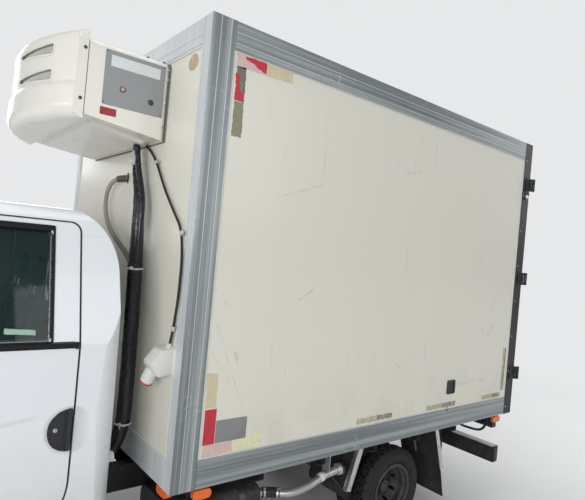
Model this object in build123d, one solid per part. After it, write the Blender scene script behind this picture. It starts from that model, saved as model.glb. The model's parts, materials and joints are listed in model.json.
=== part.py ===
from build123d import *
import math
import os

# Refrigerated truck: a cab on a ladder frame with an insulated box behind it.
# X points forward, Y to the left side, Z up, in millimetres.
# The origin is on the ground under the middle of the truck.

# Overall sizes
cab_zone_length = 2130.0      # bumper face to the box's front face
box_length = 2900.0           # box front face to the rear frame
box_width = 1920.0
box_height = 2200.0
box_bottom = 720.0
rear_frame_depth = 110.0
cab_width = 1740.0
roof_height = 1990.0
wheelbase = 2700.0
front_overhang = 1210.0

# Box walls
side_thick = 60.0
front_thick = 70.0
roof_thick = 80.0
floor_thick = 80.0
cap_thick = 4.0               # thickness of the aluminium edge extrusions
post_side_leg = 128.0
post_front_leg = 78.0
rail_side_leg = 138.0
rail_top_leg = 78.0
joint_gap = 0.5               # sealed joint between neighbouring extrusions

# Rear frame and leaves
rear_post_width = 64.0
rear_sill_height = 84.0
stop_lip = 15.0
stop_depth = 20.0
leaf_thick = 80.0
leaf_gap = 6.0
leaf_meeting_gap = 18.0
pin_behind = 22.0             # hinge pin behind the rear face
pin_outboard = 20.0           # hinge pin outside the box's side
pin_radius = 6.0
barrel_radius = 12.0
hinge_heights = (330.0, 1100.0, 1870.0)   # above the box bottom
lock_rod_behind = 24.0        # lock rod's axis behind the rear face
lock_rod_y = 250.0
lever_half = 20.0

# Ladder frame
rail_outer = 375.0
rail_flange = 60.0
rail_top = 640.0
rail_height = 140.0
rail_web = 6.0
exhaust_radius = 22.0
bearer_width = 60.0
bearer_count = 7

# Wheels
front_tyre_radius = 327.0
front_tyre_width = 195.0
front_track = 1485.0
front_rim_radius = 190.5
front_rim_width = 150.0
rear_tyre_radius = 287.5
rear_tyre_width = 145.0
rear_outer_track = 1495.0
dual_spacing = 175.0
rear_rim_radius = 165.0
rear_rim_width = 112.0
kingpin_track = 1334.0
arch_radius = 425.0
running_gap = 0.3             # between a shaft and its bore

# Cab
cab_wall = 45.0
door_thick = 60.0
door_skin = 12.0
door_gap = 8.0
door_inner_step = 14.0
glass_thick = 5.0
deck_height = 765.0           # underside of the raised floor over the wheels
footwell_height = 650.0
floor_plate = 30.0
handle_recess_radius = 107.0
handle_recess_depth = 8.0
firewall_ahead = 1840.0        # back face of the firewall, ahead of the box

# Refrigeration unit
unit_half_width = 550.0
unit_depth = 410.0
unit_top = 2775.0
unit_low_back = 2370.0        # underside at the wall
unit_low_front = 2420.0       # underside at the cover's seam
nose_reach = 622.0            # chin of the cover, ahead of the box
nose_radius = 1056.0          # plan radius of the bowed cover
nose_corner = 50.0
cover_wall = 4.0
slot_heights = ((2700.0, 2750.0), (2576.0, 2627.0))

# Places that follow from the sizes above
overall_length = cab_zone_length + box_length + rear_frame_depth + lock_rod_behind + lever_half
front_x = overall_length / 2
box_front = front_x - cab_zone_length
frame_front = box_front - box_length
frame_back = frame_front - rear_frame_depth
box_half = box_width / 2
box_top = box_bottom + box_height
front_axle_x = front_x - front_overhang
rear_axle_x = front_axle_x - wheelbase
cab_half = cab_width / 2
beyond = cab_half + 200.0     # past the cab's widest side, for its cutters
rail_inner = rail_outer - rail_flange
rail_bottom = rail_top - rail_height
leaf_half = box_half - rear_post_width - leaf_gap
pin_x = frame_back - pin_behind
pin_y = box_half + pin_outboard
kingpin_y = kingpin_track / 2
front_wheel_y = front_track / 2
rear_outer_y = rear_outer_track / 2
rear_inner_y = rear_outer_y - dual_spacing
wall_outer = box_half - cap_thick
wall_inner = wall_outer - side_thick
panel_low = box_bottom + cap_thick
panel_high = box_top - cap_thick
floor_top = panel_low + floor_thick
ceiling = panel_high - roof_thick
front_wall_face = box_front - cap_thick
front_wall_back = front_wall_face - front_thick
firewall_x = box_front + firewall_ahead


def ahead(distance):
    """X of a place this far ahead of the box's front face."""
    return box_front + distance


# Small helpers for the shapes
def outline(plane, rows):
    """Closed face from rows of across, up and corner radius."""
    points = [plane.from_local_coords(Vector(across, up, 0)) for across, up, radius in rows]
    path = FilletPolyline(*points, radius=[radius for across, up, radius in rows], close=True)
    return make_face(path.edges())


def side_prism(rows, low_y, high_y):
    """Outline in X and Z, extruded along Y."""
    plane = Plane((0, low_y, 0), x_dir=(1, 0, 0), z_dir=(0, -1, 0))
    return extrude(outline(plane, rows), amount=high_y - low_y, dir=(0, 1, 0))


def cross_prism(rows, low_x, high_x):
    """Outline in Y and Z, extruded along X."""
    plane = Plane((low_x, 0, 0), x_dir=(0, 1, 0), z_dir=(1, 0, 0))
    return extrude(outline(plane, rows), amount=high_x - low_x, dir=(1, 0, 0))


def plan_prism(rows, low_z, high_z):
    """Outline in X and Y, extruded along Z."""
    plane = Plane((0, 0, low_z), x_dir=(1, 0, 0), z_dir=(0, 0, 1))
    return extrude(outline(plane, rows), amount=high_z - low_z, dir=(0, 0, 1))


def block(x_pair, y_pair, z_pair):
    sizes = [pair[1] - pair[0] for pair in (x_pair, y_pair, z_pair)]
    middle = [(pair[1] + pair[0]) / 2 for pair in (x_pair, y_pair, z_pair)]
    return Pos(*middle) * Box(*sizes)


def rod(start, end, radius):
    start = Vector(*start)
    end = Vector(*end)
    run = end - start
    plane = Plane(origin=start, z_dir=run.normalized())
    return plane * Cylinder(radius, run.length, align=(Align.CENTER, Align.CENTER, Align.MIN))


def cross_ring(x, z, outer, inner, low_y, high_y):
    """Ring round an axle: axis along Y."""
    ring = rod((x, low_y, z), (x, high_y, z), outer)
    if inner > 0:
        ring = ring - rod((x, low_y - 1, z), (x, high_y + 1, z), inner)
    return ring


def turned_about_y(x, z, rows):
    """Revolve rows of radius, y and corner radius about the axle line through x and z."""
    plane = Plane((x, 0, z), x_dir=(0, 0, 1), z_dir=(1, 0, 0))
    face = outline(plane, [(radius, -y, corner) for radius, y, corner in rows])
    return revolve(face, axis=Axis((x, 0, z), (0, 1, 0)), revolution_arc=360)


def mirrored(shape):
    return mirror(shape, about=Plane.XZ)


def pair(shape):
    return [shape, mirrored(shape)]


def bent_tube(points, radius):
    """Tube along straight runs joined by the largest arcs that they allow."""
    points = [Vector(*point) for point in points]
    corner_radii = []
    for before, corner, after in zip(points, points[1:], points[2:]):
        turn = (corner - before).get_angle(after - corner)
        shorter = min((corner - before).length, (after - corner).length)
        corner_radii.append(0.45 * shorter / math.tan(math.radians(turn / 2)))
    path = FilletPolyline(*points, radius=corner_radii)
    section = Plane(origin=points[0], z_dir=(points[1] - points[0]).normalized()) * Circle(radius)
    tube = sweep(section, path=path)
    length = sum(edge.length for edge in path.edges())
    print("tube length", round(length), "volume ratio", round(tube.volume / (math.pi * radius**2 * length), 4))
    print("  radii", [round(corner) for corner in corner_radii])
    return tube


os.makedirs("parts", exist_ok=True)


def save(name, *shapes):
    """Write one node: every solid of the shapes given."""
    solids = []
    for shape in shapes:
        if isinstance(shape, (list, tuple)):
            for piece in shape:
                solids.extend(piece.solids())
        else:
            solids.extend(shape.solids())
    result = solids[0] if len(solids) == 1 else Compound(children=solids)
    export_step(result, f"parts/{name}.step")


# Insulated box
def box_panels(drain):
    side = block((frame_front, front_wall_back), (wall_inner, wall_outer), (panel_low, panel_high))
    save("box_side_walls", pair(side))
    front = block((front_wall_back, front_wall_face), (-wall_outer, wall_outer), (panel_low, panel_high))
    save("box_front_wall", front - drain)
    floor = block((frame_front, front_wall_back), (-wall_inner, wall_inner), (panel_low, floor_top))
    save("box_floor", floor)
    roof = block((frame_front, front_wall_back), (-wall_inner, wall_inner), (ceiling, panel_high))
    save("box_roof", roof)


def stepped_leg(length):
    """Rows of distance from the corner and depth below the outer face, along one leg."""
    return [(0.60 * length, 0.0), (0.60 * length, 1.5), (0.64 * length, 1.5), (0.64 * length, 0.0),
            (0.90 * length, 0.0), (0.90 * length, 2.0), (length, 2.0)]


def angle_rows(first_leg, second_leg, edge_radius):
    """Extrusion section in its corner's own frame: both legs run to minus, the outer corner is at 0, 0."""
    rows = [(0.0, 0.0, edge_radius)]
    rows += [(-along, -depth, 0.0) for along, depth in stepped_leg(first_leg)]
    rows += [(-first_leg, -cap_thick, 0.0), (-cap_thick, -cap_thick, 0.0), (-cap_thick, -second_leg, 0.0)]
    rows += [(-depth, -along, 0.0) for along, depth in reversed(stepped_leg(second_leg))]
    return rows


def edge_extrusions():
    """Front corner posts and the rails along the box's long and front edges."""
    pieces = []
    rows = [(box_front + a, box_half + b, r) for a, b, r in angle_rows(post_side_leg, post_front_leg, 3.0)]
    post = plan_prism(rows, panel_low, panel_high)
    pieces += pair(post)
    rail_x = (frame_front, box_front - post_side_leg - joint_gap)
    rows = [(box_half + a, box_top + b, r) for a, b, r in angle_rows(rail_top_leg, rail_side_leg, 3.0)]
    top = cross_prism(rows, rail_x[0], rail_x[1])
    top += block((rail_x[1], box_front), (box_half - rail_top_leg, box_half), (panel_high, box_top))
    pieces += pair(top)
    rows = [(across, box_bottom + box_top - up, r) for across, up, r in rows]
    low = cross_prism(rows, rail_x[0], rail_x[1])
    low += block((rail_x[1], box_front), (box_half - rail_top_leg, box_half), (box_bottom, panel_low))
    pieces += pair(low)
    front_half = box_half - post_front_leg - joint_gap
    rows = [(box_front + a, box_top + b, r) for a, b, r in angle_rows(rail_top_leg, rail_side_leg, 3.0)]
    pieces.append(side_prism(rows, -front_half, front_half))
    rows = [(across, box_bottom + box_top - up, r) for across, up, r in rows]
    pieces.append(side_prism(rows, -front_half, front_half))
    save("edge_extrusions", pieces)


def rear_frame():
    """Steel portal round the rear doorway, with a stop lip in front of the leaves."""
    frame = block((frame_back, frame_front), (-box_half, box_half), (box_bottom, box_top))
    inner = box_half - rear_post_width
    doorway = (box_bottom + rear_sill_height, box_top - rear_sill_height)
    frame -= block((frame_back - 1, frame_front - stop_depth), (-inner, inner), doorway)
    lip = (doorway[0], doorway[1] - stop_lip)
    frame -= block((frame_back, frame_front + 1), (stop_lip - inner, inner - stop_lip), lip)
    save("rear_frame", frame)


def rear_leaf():
    """One insulated leaf on the left, within the portal."""
    low = box_bottom + rear_sill_height + leaf_gap
    high = box_top - rear_sill_height - leaf_gap
    leaf = block((frame_back, frame_back + leaf_thick), (leaf_meeting_gap / 2, leaf_half), (low, high))
    return leaf


def hinge_height(step):
    return box_bottom + step


def leaf_gear():
    """Hinge straps, lock rod with its cams and handle, on the left leaf."""
    pieces = []
    for step in hinge_heights:
        middle = hinge_height(step)
        rows = [(pin_x + 2.0, pin_y, 0.0), (pin_x + 6.0, pin_y, 0.0), (pin_x + 14.0, pin_y - 14.0, 0.0),
                (pin_x + 14.0, leaf_half + 2.0, 0.0), (frame_back, leaf_half - 8.0, 0.0),
                (frame_back, leaf_half - 330.0, 0.0), (frame_back - 6.0, leaf_half - 330.0, 0.0),
                (frame_back - 6.0, leaf_half - 8.0, 0.0), (pin_x + 8.0, leaf_half, 0.0),
                (pin_x + 8.0, pin_y - 10.0, 0.0), (pin_x + 2.0, pin_y - 6.0, 0.0)]
        strap = plan_prism(rows, middle - 22.0, middle + 22.0)
        barrel = rod((pin_x, pin_y, middle - 22.0), (pin_x, pin_y, middle + 22.0), barrel_radius)
        hinge = strap + barrel
        hinge -= rod((pin_x, pin_y, middle - 30.0), (pin_x, pin_y, middle + 30.0), pin_radius + running_gap)
        pieces.append(hinge)
    rod_y = lock_rod_y
    rod_x = frame_back - lock_rod_behind
    low = box_bottom + 30.0
    high = box_top - 30.0
    lock = rod((rod_x, rod_y, low), (rod_x, rod_y, high), 12.0)
    for end, way in ((low, 1.0), (high, -1.0)):
        lock += block((rod_x - 10.0, rod_x + 10.0), (rod_y - 8.0, rod_y + 34.0), sorted((end, end + way * 26.0)))
    for guide in (box_bottom + 190.0, box_bottom + 620.0, box_top - 620.0, box_top - 190.0):
        lock += block((rod_x - 17.0, frame_back), (rod_y - 30.0, rod_y + 30.0), (guide - 24.0, guide + 24.0))
    handle_z = box_bottom + 800.0
    lock += block((rod_x - lever_half, rod_x + 14.0), (rod_y - 20.0, rod_y + 20.0), (handle_z - 30.0, handle_z + 30.0))
    lock += block((rod_x - 14.0, rod_x - 4.0), (rod_y, rod_y + 330.0), (handle_z - 14.0, handle_z + 14.0))
    lock += block((rod_x - 14.0, frame_back), (rod_y + 270.0, rod_y + 300.0), (handle_z - 30.0, handle_z - 14.0))
    pieces.append(lock)
    return pieces


def hinge_brackets():
    """Fixed halves of the leaf hinges and the keepers for the lock rods."""
    pieces = []
    for step in hinge_heights:
        middle = hinge_height(step)
        plate = block((frame_back, frame_back + 70.0), (box_half, box_half + 6.0), (middle - 50.0, middle + 50.0))
        for low, high in ((middle - 50.0, middle - 23.0), (middle + 23.0, middle + 50.0)):
            rows = [(frame_back + 20.0, box_half, 0.0), (frame_back + 20.0, box_half + 6.0, 0.0),
                    (pin_x, pin_y + barrel_radius, 0.0), (pin_x - 8.0, pin_y, 0.0), (frame_back, box_half, 0.0)]
            plate += plan_prism(rows, low, high)
            plate += rod((pin_x, pin_y, low), (pin_x, pin_y, high), barrel_radius)
        plate += rod((pin_x, pin_y, middle - 50.0), (pin_x, pin_y, middle + 50.0), pin_radius)
        pieces += pair(plate)
    for end in (box_bottom + 30.0, box_top - 56.0):
        keeper = block((frame_back - 6.0, frame_back), (lock_rod_y - 30.0, lock_rod_y + 56.0), (end - 8.0, end + 34.0))
        for low_y in (lock_rod_y - 24.0, lock_rod_y + 42.0):
            keeper += block((frame_back - 34.0, frame_back), (low_y, low_y + 8.0), (end - 4.0, end + 30.0))
        pieces += pair(keeper)
    return pieces


# Refrigeration unit on the front wall
def cover_form(grow):
    """The bowed cover's outside form, grown by this much: a profile turned about a line behind the unit."""
    axis_x = ahead(nose_reach) - nose_radius
    rows = [(axis_x, 2402.0 - grow, 0.0), (ahead(nose_reach) + grow, 2392.0 - grow, 62.0),
            (ahead(nose_reach - 6.0) + grow, 2546.0, 30.0), (ahead(nose_reach - 18.0) + grow, 2564.0, 20.0),
            (ahead(nose_reach - 18.0) + grow, 2836.0 + grow, 60.0), (axis_x, 2590.0 + grow, 0.0)]
    plane = Plane((0, 0, 0), x_dir=(1, 0, 0), z_dir=(0, -1, 0))
    form = revolve(outline(plane, rows), axis=Axis((axis_x, 0, 0), (0, 0, 1)), revolution_arc=360)
    half = unit_half_width + cover_wall + grow
    reach = nose_radius + 2.0 + grow
    corner = nose_corner + grow
    swing = math.asin((half - corner) / (reach - corner))
    turn_x = axis_x + (reach - corner) * math.cos(swing)
    middle = (math.pi / 2 + swing) / 2
    level = 2300.0
    points = [(axis_x + 400.0, half), (turn_x, half),
              (turn_x + corner * math.cos(middle), half - corner + corner * math.sin(middle)),
              (axis_x + reach * math.cos(swing), reach * math.sin(swing))]
    left = [(x, y, level) for x, y in points]
    right = [(x, -y, level) for x, y in points]
    plan = make_face([
        Line(left[0], left[1]), ThreePointArc(left[1], left[2], left[3]),
        ThreePointArc(left[3], (axis_x + reach, 0, level), right[3]),
        ThreePointArc(right[3], right[2], right[1]), Line(right[1], right[0]), Line(right[0], left[0]),
    ])
    return form & extrude(plan, amount=600.0, dir=(0, 0, 1))


def unit_long_edges(shape, height, half):
    """The two upper edges that run forward along a unit's sides."""
    return [edge for edge in shape.edges()
            if abs(edge.center().Z - height) < 8 and abs(abs(edge.center().Y) - half) < 1]


def refrigeration_unit(bundle):
    """Housing with its pan and coil, the hollow cover with lipped slots, and the evaporator inside the box."""
    unit_front = ahead(unit_depth)
    rows = [(front_wall_face, unit_low_back, 0.0), (unit_front, unit_low_front, 0.0),
            (unit_front, unit_top + 5.0, 0.0), (front_wall_face, unit_top, 30.0)]
    housing = side_prism(rows, -unit_half_width, unit_half_width)
    housing = fillet(unit_long_edges(housing, unit_top, unit_half_width), 35.0)
    slope = Vector(unit_front - front_wall_face, 0, unit_low_front - unit_low_back).normalized()
    plane = Plane(origin=(front_wall_face, 0, unit_low_back), x_dir=slope, z_dir=Vector(slope.Z, 0, -slope.X))
    pan = outline(plane, [(40.0, -430.0, 40.0), (375.0, -490.0, 40.0), (375.0, 490.0, 40.0), (40.0, 430.0, 40.0)])
    housing += extrude(pan, amount=18.0, taper=50.0)
    coil = cover_form(-36.0) & block((unit_front - 1.0, ahead(700.0)), (-470.0, 470.0), (2556.0, 2768.0))
    for index in range(12):
        fin_y = -440.0 + 80.0 * index
        coil -= block((ahead(420.0), ahead(700.0)), (fin_y - 3.0, fin_y + 3.0), (2562.0, 2762.0))
    housing += coil
    save("condenser_housing", housing - bundle)

    flange_rows = [(unit_front, unit_low_front - 4.0, 0.0), (ahead(452.0), unit_low_front - 8.0, 0.0),
                   (ahead(452.0), unit_top + 16.0, 0.0), (unit_front, unit_top + 10.0, 0.0)]
    half = unit_half_width + cover_wall
    flange = side_prism(flange_rows, -half, half)
    flange = fillet(unit_long_edges(flange, unit_top + 12.0, half), 38.0)
    nose_zone = block((unit_front, ahead(700.0)), (-half, half), (2300.0, 2900.0))
    cover = (cover_form(0.0) & nose_zone) + flange
    lips = cover_form(3.0) - cover_form(-1.0)
    slots = []
    for low, high in slot_heights:
        rows = [(75.0, low + 16.0, 6.0), (400.0, low, 14.0), (400.0, high, 14.0), (75.0, high - 16.0, 6.0)]
        slots += pair(cross_prism(rows, ahead(430.0), ahead(700.0)))
        rows = [(60.0, low + 8.0, 12.0), (410.0, low - 10.0, 22.0), (410.0, high + 10.0, 22.0), (60.0, high - 8.0, 12.0)]
        for band in pair(cross_prism(rows, ahead(430.0), ahead(700.0))):
            cover += lips & band
    room = block((unit_front - 1.0, ahead(700.0)), (cover_wall - half, half - cover_wall),
                 (unit_low_front + 2.0, unit_top + 4.0))
    cover -= cover_form(-cover_wall) & room
    for slot in slots:
        cover -= slot
    save("condenser_cover", cover)

    low, high = 2560.0, 2800.0
    evaporator = block((front_wall_back - 320.0, front_wall_back), (-560.0, 560.0), (low, high))
    rows = [(front_wall_back - 330.0, low - 1.0, 0.0), (front_wall_back - 230.0, low - 1.0, 0.0),
            (front_wall_back - 330.0, low + 70.0, 0.0)]
    evaporator -= side_prism(rows, -570.0, 570.0)
    for across in (-300.0, 0.0, 300.0):
        middle = (low + high) / 2 + 20.0
        evaporator -= rod((front_wall_back - 330.0, across, middle), (front_wall_back - 280.0, across, middle), 92.0)
    save("evaporator", evaporator)


hose_bundle_route = [(60, 338, 2350), (60, 362, 2235), (60, 440, 2110), (60, 462, 1900), (60, 468, 1690),
                     (60, 488, 1400), (60, 498, 1090), (62, 500, 880), (110, 440, 720), (250, 290, 700),
                     (450, 180, 690)]
drain_hose_route = [(-60, 112, 2212), (-8, 70, 2213), (30, 8, 2206), (40, -80, 2185), (40, -149, 2114), (40, -129, 2000),
                    (40, -20, 1900), (40, 150, 1826), (42, 300, 1766), (46, 378, 1716), (48, 415, 1650)]
power_cable_route = [(12, 355, 2366), (12, 425, 2330), (12, 509, 2263), (12, 640, 2116), (12, 764, 2005),
                     (12, 860, 1925), (12, 893, 1783), (12, 890, 1598), (12, 866, 1452), (12, 842, 1372.5)]


def hoses():
    """Hose bundle from the unit to the engine, drain hose and power cable on the front wall."""
    def placed(route):
        return [(ahead(x), y, z) for x, y, z in route]
    bundle = bent_tube(placed(hose_bundle_route), 40.0)
    drain = bent_tube(placed(drain_hose_route), 14.0)
    save("hose_bundle", bundle)
    save("drain_hose", drain)
    save("power_cable", bent_tube(placed(power_cable_route), 6.0))
    rows = [(-cap_thick, 1250.0, 0.0), (70.0, 1235.0, 20.0), (110.0, 1300.0, 20.0), (60.0, 1362.0, 20.0),
            (-cap_thick, 1372.0, 0.0)]
    socket = side_prism([(ahead(a), b, c) for a, b, c in rows], 775.0, 875.0)
    socket += rod((ahead(58.0), 800.0, 1275.0), (ahead(78.0), 765.0, 1190.0), 32.0)
    save("standby_socket", socket)
    return bundle, drain


# Ladder frame and running gear
def ladder_frame():
    low_x = frame_back + 20.0
    high_x = front_x - 150.0
    rail = block((low_x, high_x), (rail_inner, rail_outer), (rail_bottom, rail_top))
    rail -= block((low_x - 1, high_x + 1), (rail_inner - 1, rail_outer - rail_web),
                  (rail_bottom + rail_web, rail_top - rail_web))
    save("frame_rails", pair(rail))
    members = []
    web_inner = rail_outer - rail_web
    for place in (ahead(1860.0), ahead(-150.0), rear_axle_x + 1150.0, rear_axle_x + 520.0,
                  rear_axle_x - 560.0, low_x + 60.0):
        member = block((place - 35.0, place + 35.0), (-web_inner, web_inner),
                       (rail_bottom + rail_web, rail_top - rail_web))
        member -= block((place - 29.0, place + 36.0), (-web_inner + 20.0, web_inner - 20.0),
                        (rail_bottom + rail_web + 6.0, rail_top - rail_web - 6.0))
        members.append(member)
    save("cross_members", members)
    bearers = []
    for index in range(bearer_count):
        span = box_length - 2 * 110.0
        place = box_front - 110.0 - span * index / (bearer_count - 1)
        bearer = block((place - bearer_width / 2, place + bearer_width / 2),
                       (-box_half + rail_top_leg + 2.0, box_half - rail_top_leg - 2.0), (rail_top, panel_low))
        bearer -= block((place - bearer_width / 2 + 5.0, place + bearer_width),
                        (-box_half, box_half), (rail_top + 5.0, panel_low - 5.0))
        bearers.append(bearer)
    save("cross_bearers", bearers)


spring_half = 550.0
eye_drop = 42.0               # spring eye below the rail
leaf_count = 4
leaf_step = 10.0
spring_width = 60.0
eye_radius = 20.0
spring_y = rail_outer - rail_flange / 2
rear_seat_rise = 52.0         # spring seat above the rear axle's centre


def leaf_spring(axle_x, seat_z):
    """Stack of curved leaves on the axle seat, with rolled eyes in hangers under the rail."""
    eye_z = rail_bottom - eye_drop
    sag = eye_z - 8.0 - seat_z - leaf_count * leaf_step
    bend = (spring_half**2 + sag**2) / (2 * sag)
    centre_z = seat_z + leaf_count * leaf_step + bend
    plane = Plane((axle_x, spring_y - spring_width / 2, centre_z), x_dir=(1, 0, 0), z_dir=(0, -1, 0))
    spring = None
    for index in range(leaf_count):
        half = spring_half - 130.0 * index
        inner = bend + index * leaf_step
        outer = inner + leaf_step
        swing = math.asin(half / bend)
        corners = []
        for radius in (inner, outer):
            ends = [(-radius * math.sin(swing), -radius * math.cos(swing)), (0, -radius),
                    (radius * math.sin(swing), -radius * math.cos(swing))]
            corners.append([plane.from_local_coords(Vector(a, b, 0)) for a, b in ends])
        face = make_face([ThreePointArc(*corners[0]), ThreePointArc(*corners[1]),
                          Line(corners[0][0], corners[1][0]), Line(corners[0][2], corners[1][2])])
        leaf = extrude(face, amount=spring_width, dir=(0, 1, 0))
        spring = leaf if spring is None else spring + leaf
    hangers = []
    sides = (spring_y - spring_width / 2, spring_y + spring_width / 2)
    for way in (-1, 1):
        eye_x = axle_x + way * (spring_half + 6.0)
        spring += cross_ring(eye_x, eye_z, eye_radius, 0, sides[0], sides[1])
        spring -= cross_ring(eye_x, eye_z, 10.0 + running_gap, 0, sides[0] - 1, sides[1] + 1)
        hanger = block((eye_x - 32.0, eye_x + 32.0), (sides[0] - 10.0, sides[1] + 10.0), (eye_z - 24.0, rail_bottom))
        hanger -= block((eye_x - 33.0, eye_x + 33.0), (sides[0] - running_gap, sides[1] + running_gap),
                        (eye_z - 25.0, rail_bottom - 8.0))
        hanger += cross_ring(eye_x, eye_z, 10.0, 0, sides[0] - 10.0, sides[1] + 10.0)
        hangers.append(hanger)
    return [spring] + hangers


beam_low = 275.0
beam_high = 335.0
eye_low = 275.0
eye_high = 369.0
kingpin_radius = 12.0
lug_height = 35.0
lug_gap = 1.0
arm_back = 170.0
arm_in = 57.0
rod_eye_height = 23.0
open_pivot_gap = 5.0          # between the track rod's eyes and the arms above them


def front_axle():
    """I-section beam with a boss and a kingpin at each end."""
    beam = block((front_axle_x - 30.0, front_axle_x + 30.0), (-kingpin_y + 20.0, kingpin_y - 20.0),
                 (beam_low, beam_high))
    for way in (-1, 1):
        pocket_x = sorted((front_axle_x + way * 10.0, front_axle_x + way * 31.0))
        for pocket_y in ((-spring_y + 55.0, spring_y - 55.0), (spring_y + 55.0, kingpin_y - 60.0),
                         (-kingpin_y + 60.0, -spring_y - 55.0)):
            beam -= block(pocket_x, pocket_y, (beam_low + 14.0, beam_high - 14.0))
    for way in (-1, 1):
        beam += rod((front_axle_x, way * kingpin_y, eye_low), (front_axle_x, way * kingpin_y, eye_high), 30.0)
        beam += rod((front_axle_x, way * kingpin_y, eye_low - lug_height - 8.0),
                    (front_axle_x, way * kingpin_y, eye_high + lug_height + 8.0), kingpin_radius)
        beam += block((front_axle_x - 45.0, front_axle_x + 45.0),
                      sorted((way * (spring_y - 35.0), way * (spring_y + 35.0))), (beam_high - 10.0, beam_high + 10.0))
    save("front_axle", beam)


def knuckle(with_pin):
    """Left steering knuckle: fork round the beam end, stub axle, backing plate and track arm with its pin."""
    x, y, z = front_axle_x, kingpin_y, front_tyre_radius
    upper = (eye_high + lug_gap, eye_high + lug_gap + lug_height)
    lower = (eye_low - lug_gap - lug_height, eye_low - lug_gap)
    body = block((x - 26.0, x + 26.0), (y + 36.0, y + 54.0), (lower[0], upper[1]))
    for low, high in (upper, lower):
        body += rod((x, y, low), (x, y, high), 28.0)
        body += block((x - 26.0, x + 26.0), (y, y + 54.0), (low, high))
    arm = plan_prism([(x - 10.0, y - 20.0, 0.0), (x - 10.0, y + 20.0, 0.0), (x - 60.0, y - 10.0, 30.0),
                      (x - arm_back, y - arm_in + 16.0, 10.0), (x - arm_back - 16.0, y - arm_in, 10.0),
                      (x - arm_back, y - arm_in - 16.0, 10.0), (x - 60.0, y - 46.0, 30.0)],
                     lower[0], lower[0] + 22.0)
    body += arm
    body -= rod((x, y, lower[0] - 1), (x, y, upper[1] + 1), kingpin_radius + running_gap)
    if with_pin:
        pin_low = lower[0] - open_pivot_gap - rod_eye_height
        body += rod((x - arm_back, y - arm_in, pin_low), (x - arm_back, y - arm_in, lower[0] + 2.0), 9.0)
    body += rod((x, y + 50.0, z), (x, y + 62.0, z), 34.0)
    body += rod((x, y + 60.0, z), (x, y + 130.0, z), 20.0)
    return body


def track_rod():
    """Rod between the track arms: bored on the left arm's pin, and closed under the right arm."""
    x = front_axle_x - arm_back
    end = kingpin_y - arm_in
    high = eye_low - lug_gap - lug_height - open_pivot_gap
    low = high - rod_eye_height
    middle = (low + high) / 2
    bar = rod((x, -end + 14.0, middle), (x, end - 14.0, middle), 11.0)
    for way in (-1, 1):
        bar += rod((x, way * end, low), (x, way * end, high), 19.0)
    return bar - rod((x, end, low - 1), (x, end, high + 1), 9.0 + running_gap)


def tyre(x, y, radius, width, bead, bead_half):
    """Tyre section with a crowned tread and bulged sides, turned about the axle."""
    half = width / 2
    middle = (bead + radius) / 2
    side = [(bead, bead_half), (bead + 15.0, bead_half), (bead + 27.0, half - 5.0), (middle - 10.0, half),
            (middle + 10.0, half), (radius - 24.0, half - 8.0), (radius - 6.0, half - 24.0), (radius, half - 42.0)]
    rows = [(across, y - away, 0.0) for across, away in side]
    rows += [(across, y + away, 0.0) for across, away in reversed(side)]
    return turned_about_y(x, radius, rows)


def rim(x, y, z, bead, width, disc_y, bore, bell):
    """Steel rim: barrel with flanges and a dished disc that reaches the hub at disc_y."""
    half = width / 2
    way = 1.0 if disc_y > y else -1.0
    seat = bead - running_gap
    section = [(bead + 14.0, half), (bead + 14.0, half - 5.0), (seat, half - 8.0), (seat, half - 22.0),
               (bead - 14.0, half - 32.0)]
    inside = [(bead - 19.0, half - 34.0), (bead - 6.0, half - 23.0), (bead - 6.0, half)]
    rows = [(radius, y - across, 0.0) for radius, across in section]
    rows += [(radius, y + across, 0.0) for radius, across in reversed(section)]
    rows += [(radius, y + across, 0.0) for radius, across in reversed(inside)]
    rows += [(radius, y - across, 0.0) for radius, across in inside]
    barrel = turned_about_y(x, z, rows)
    root = disc_y - way * bell
    rows = [(bore, disc_y - way * 8.0, 0.0), (bore, disc_y, 0.0), (bead - 62.0, disc_y, 0.0),
            (bead - 34.0, root, 0.0), (bead - 16.0, root - way * 6.0, 0.0), (bead - 16.0, root - way * 14.0, 0.0),
            (bead - 40.0, root - way * 8.0, 0.0), (bead - 66.0, disc_y - way * 8.0, 0.0)]
    disc = turned_about_y(x, z, rows)
    for index in range(8):
        turn = math.radians(45.0 * index + 22.5)
        hole_x = x + (bead - 46.0) * math.sin(turn)
        hole_z = z + (bead - 46.0) * math.cos(turn)
        disc -= cross_ring(hole_x, hole_z, 13.0, 0, disc_y - 70.0, disc_y + 70.0)
    return barrel + disc


def front_wheel():
    """Left front wheel: rim and hub in one piece, and its tyre."""
    x, z, y = front_axle_x, front_tyre_radius, front_wheel_y
    disc_y = y + 36.0
    wheel = rim(x, y, z, front_rim_radius, front_rim_width, disc_y, 30.0, 34.0)
    wheel += cross_ring(x, z, 52.0, 0, kingpin_y + 68.0, disc_y)
    wheel += cross_ring(x, z, 36.0, 0, disc_y - 10.0, disc_y + 42.0)
    wheel += cross_ring(x, z, 128.0, 52.0, kingpin_y + 72.0, kingpin_y + 92.0)
    wheel -= cross_ring(x, z, 20.0 + running_gap, 0, kingpin_y + 60.0, kingpin_y + 132.0)
    return tyre(x, y, front_tyre_radius, front_tyre_width, front_rim_radius, front_rim_width / 2 - 8.5), wheel


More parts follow.
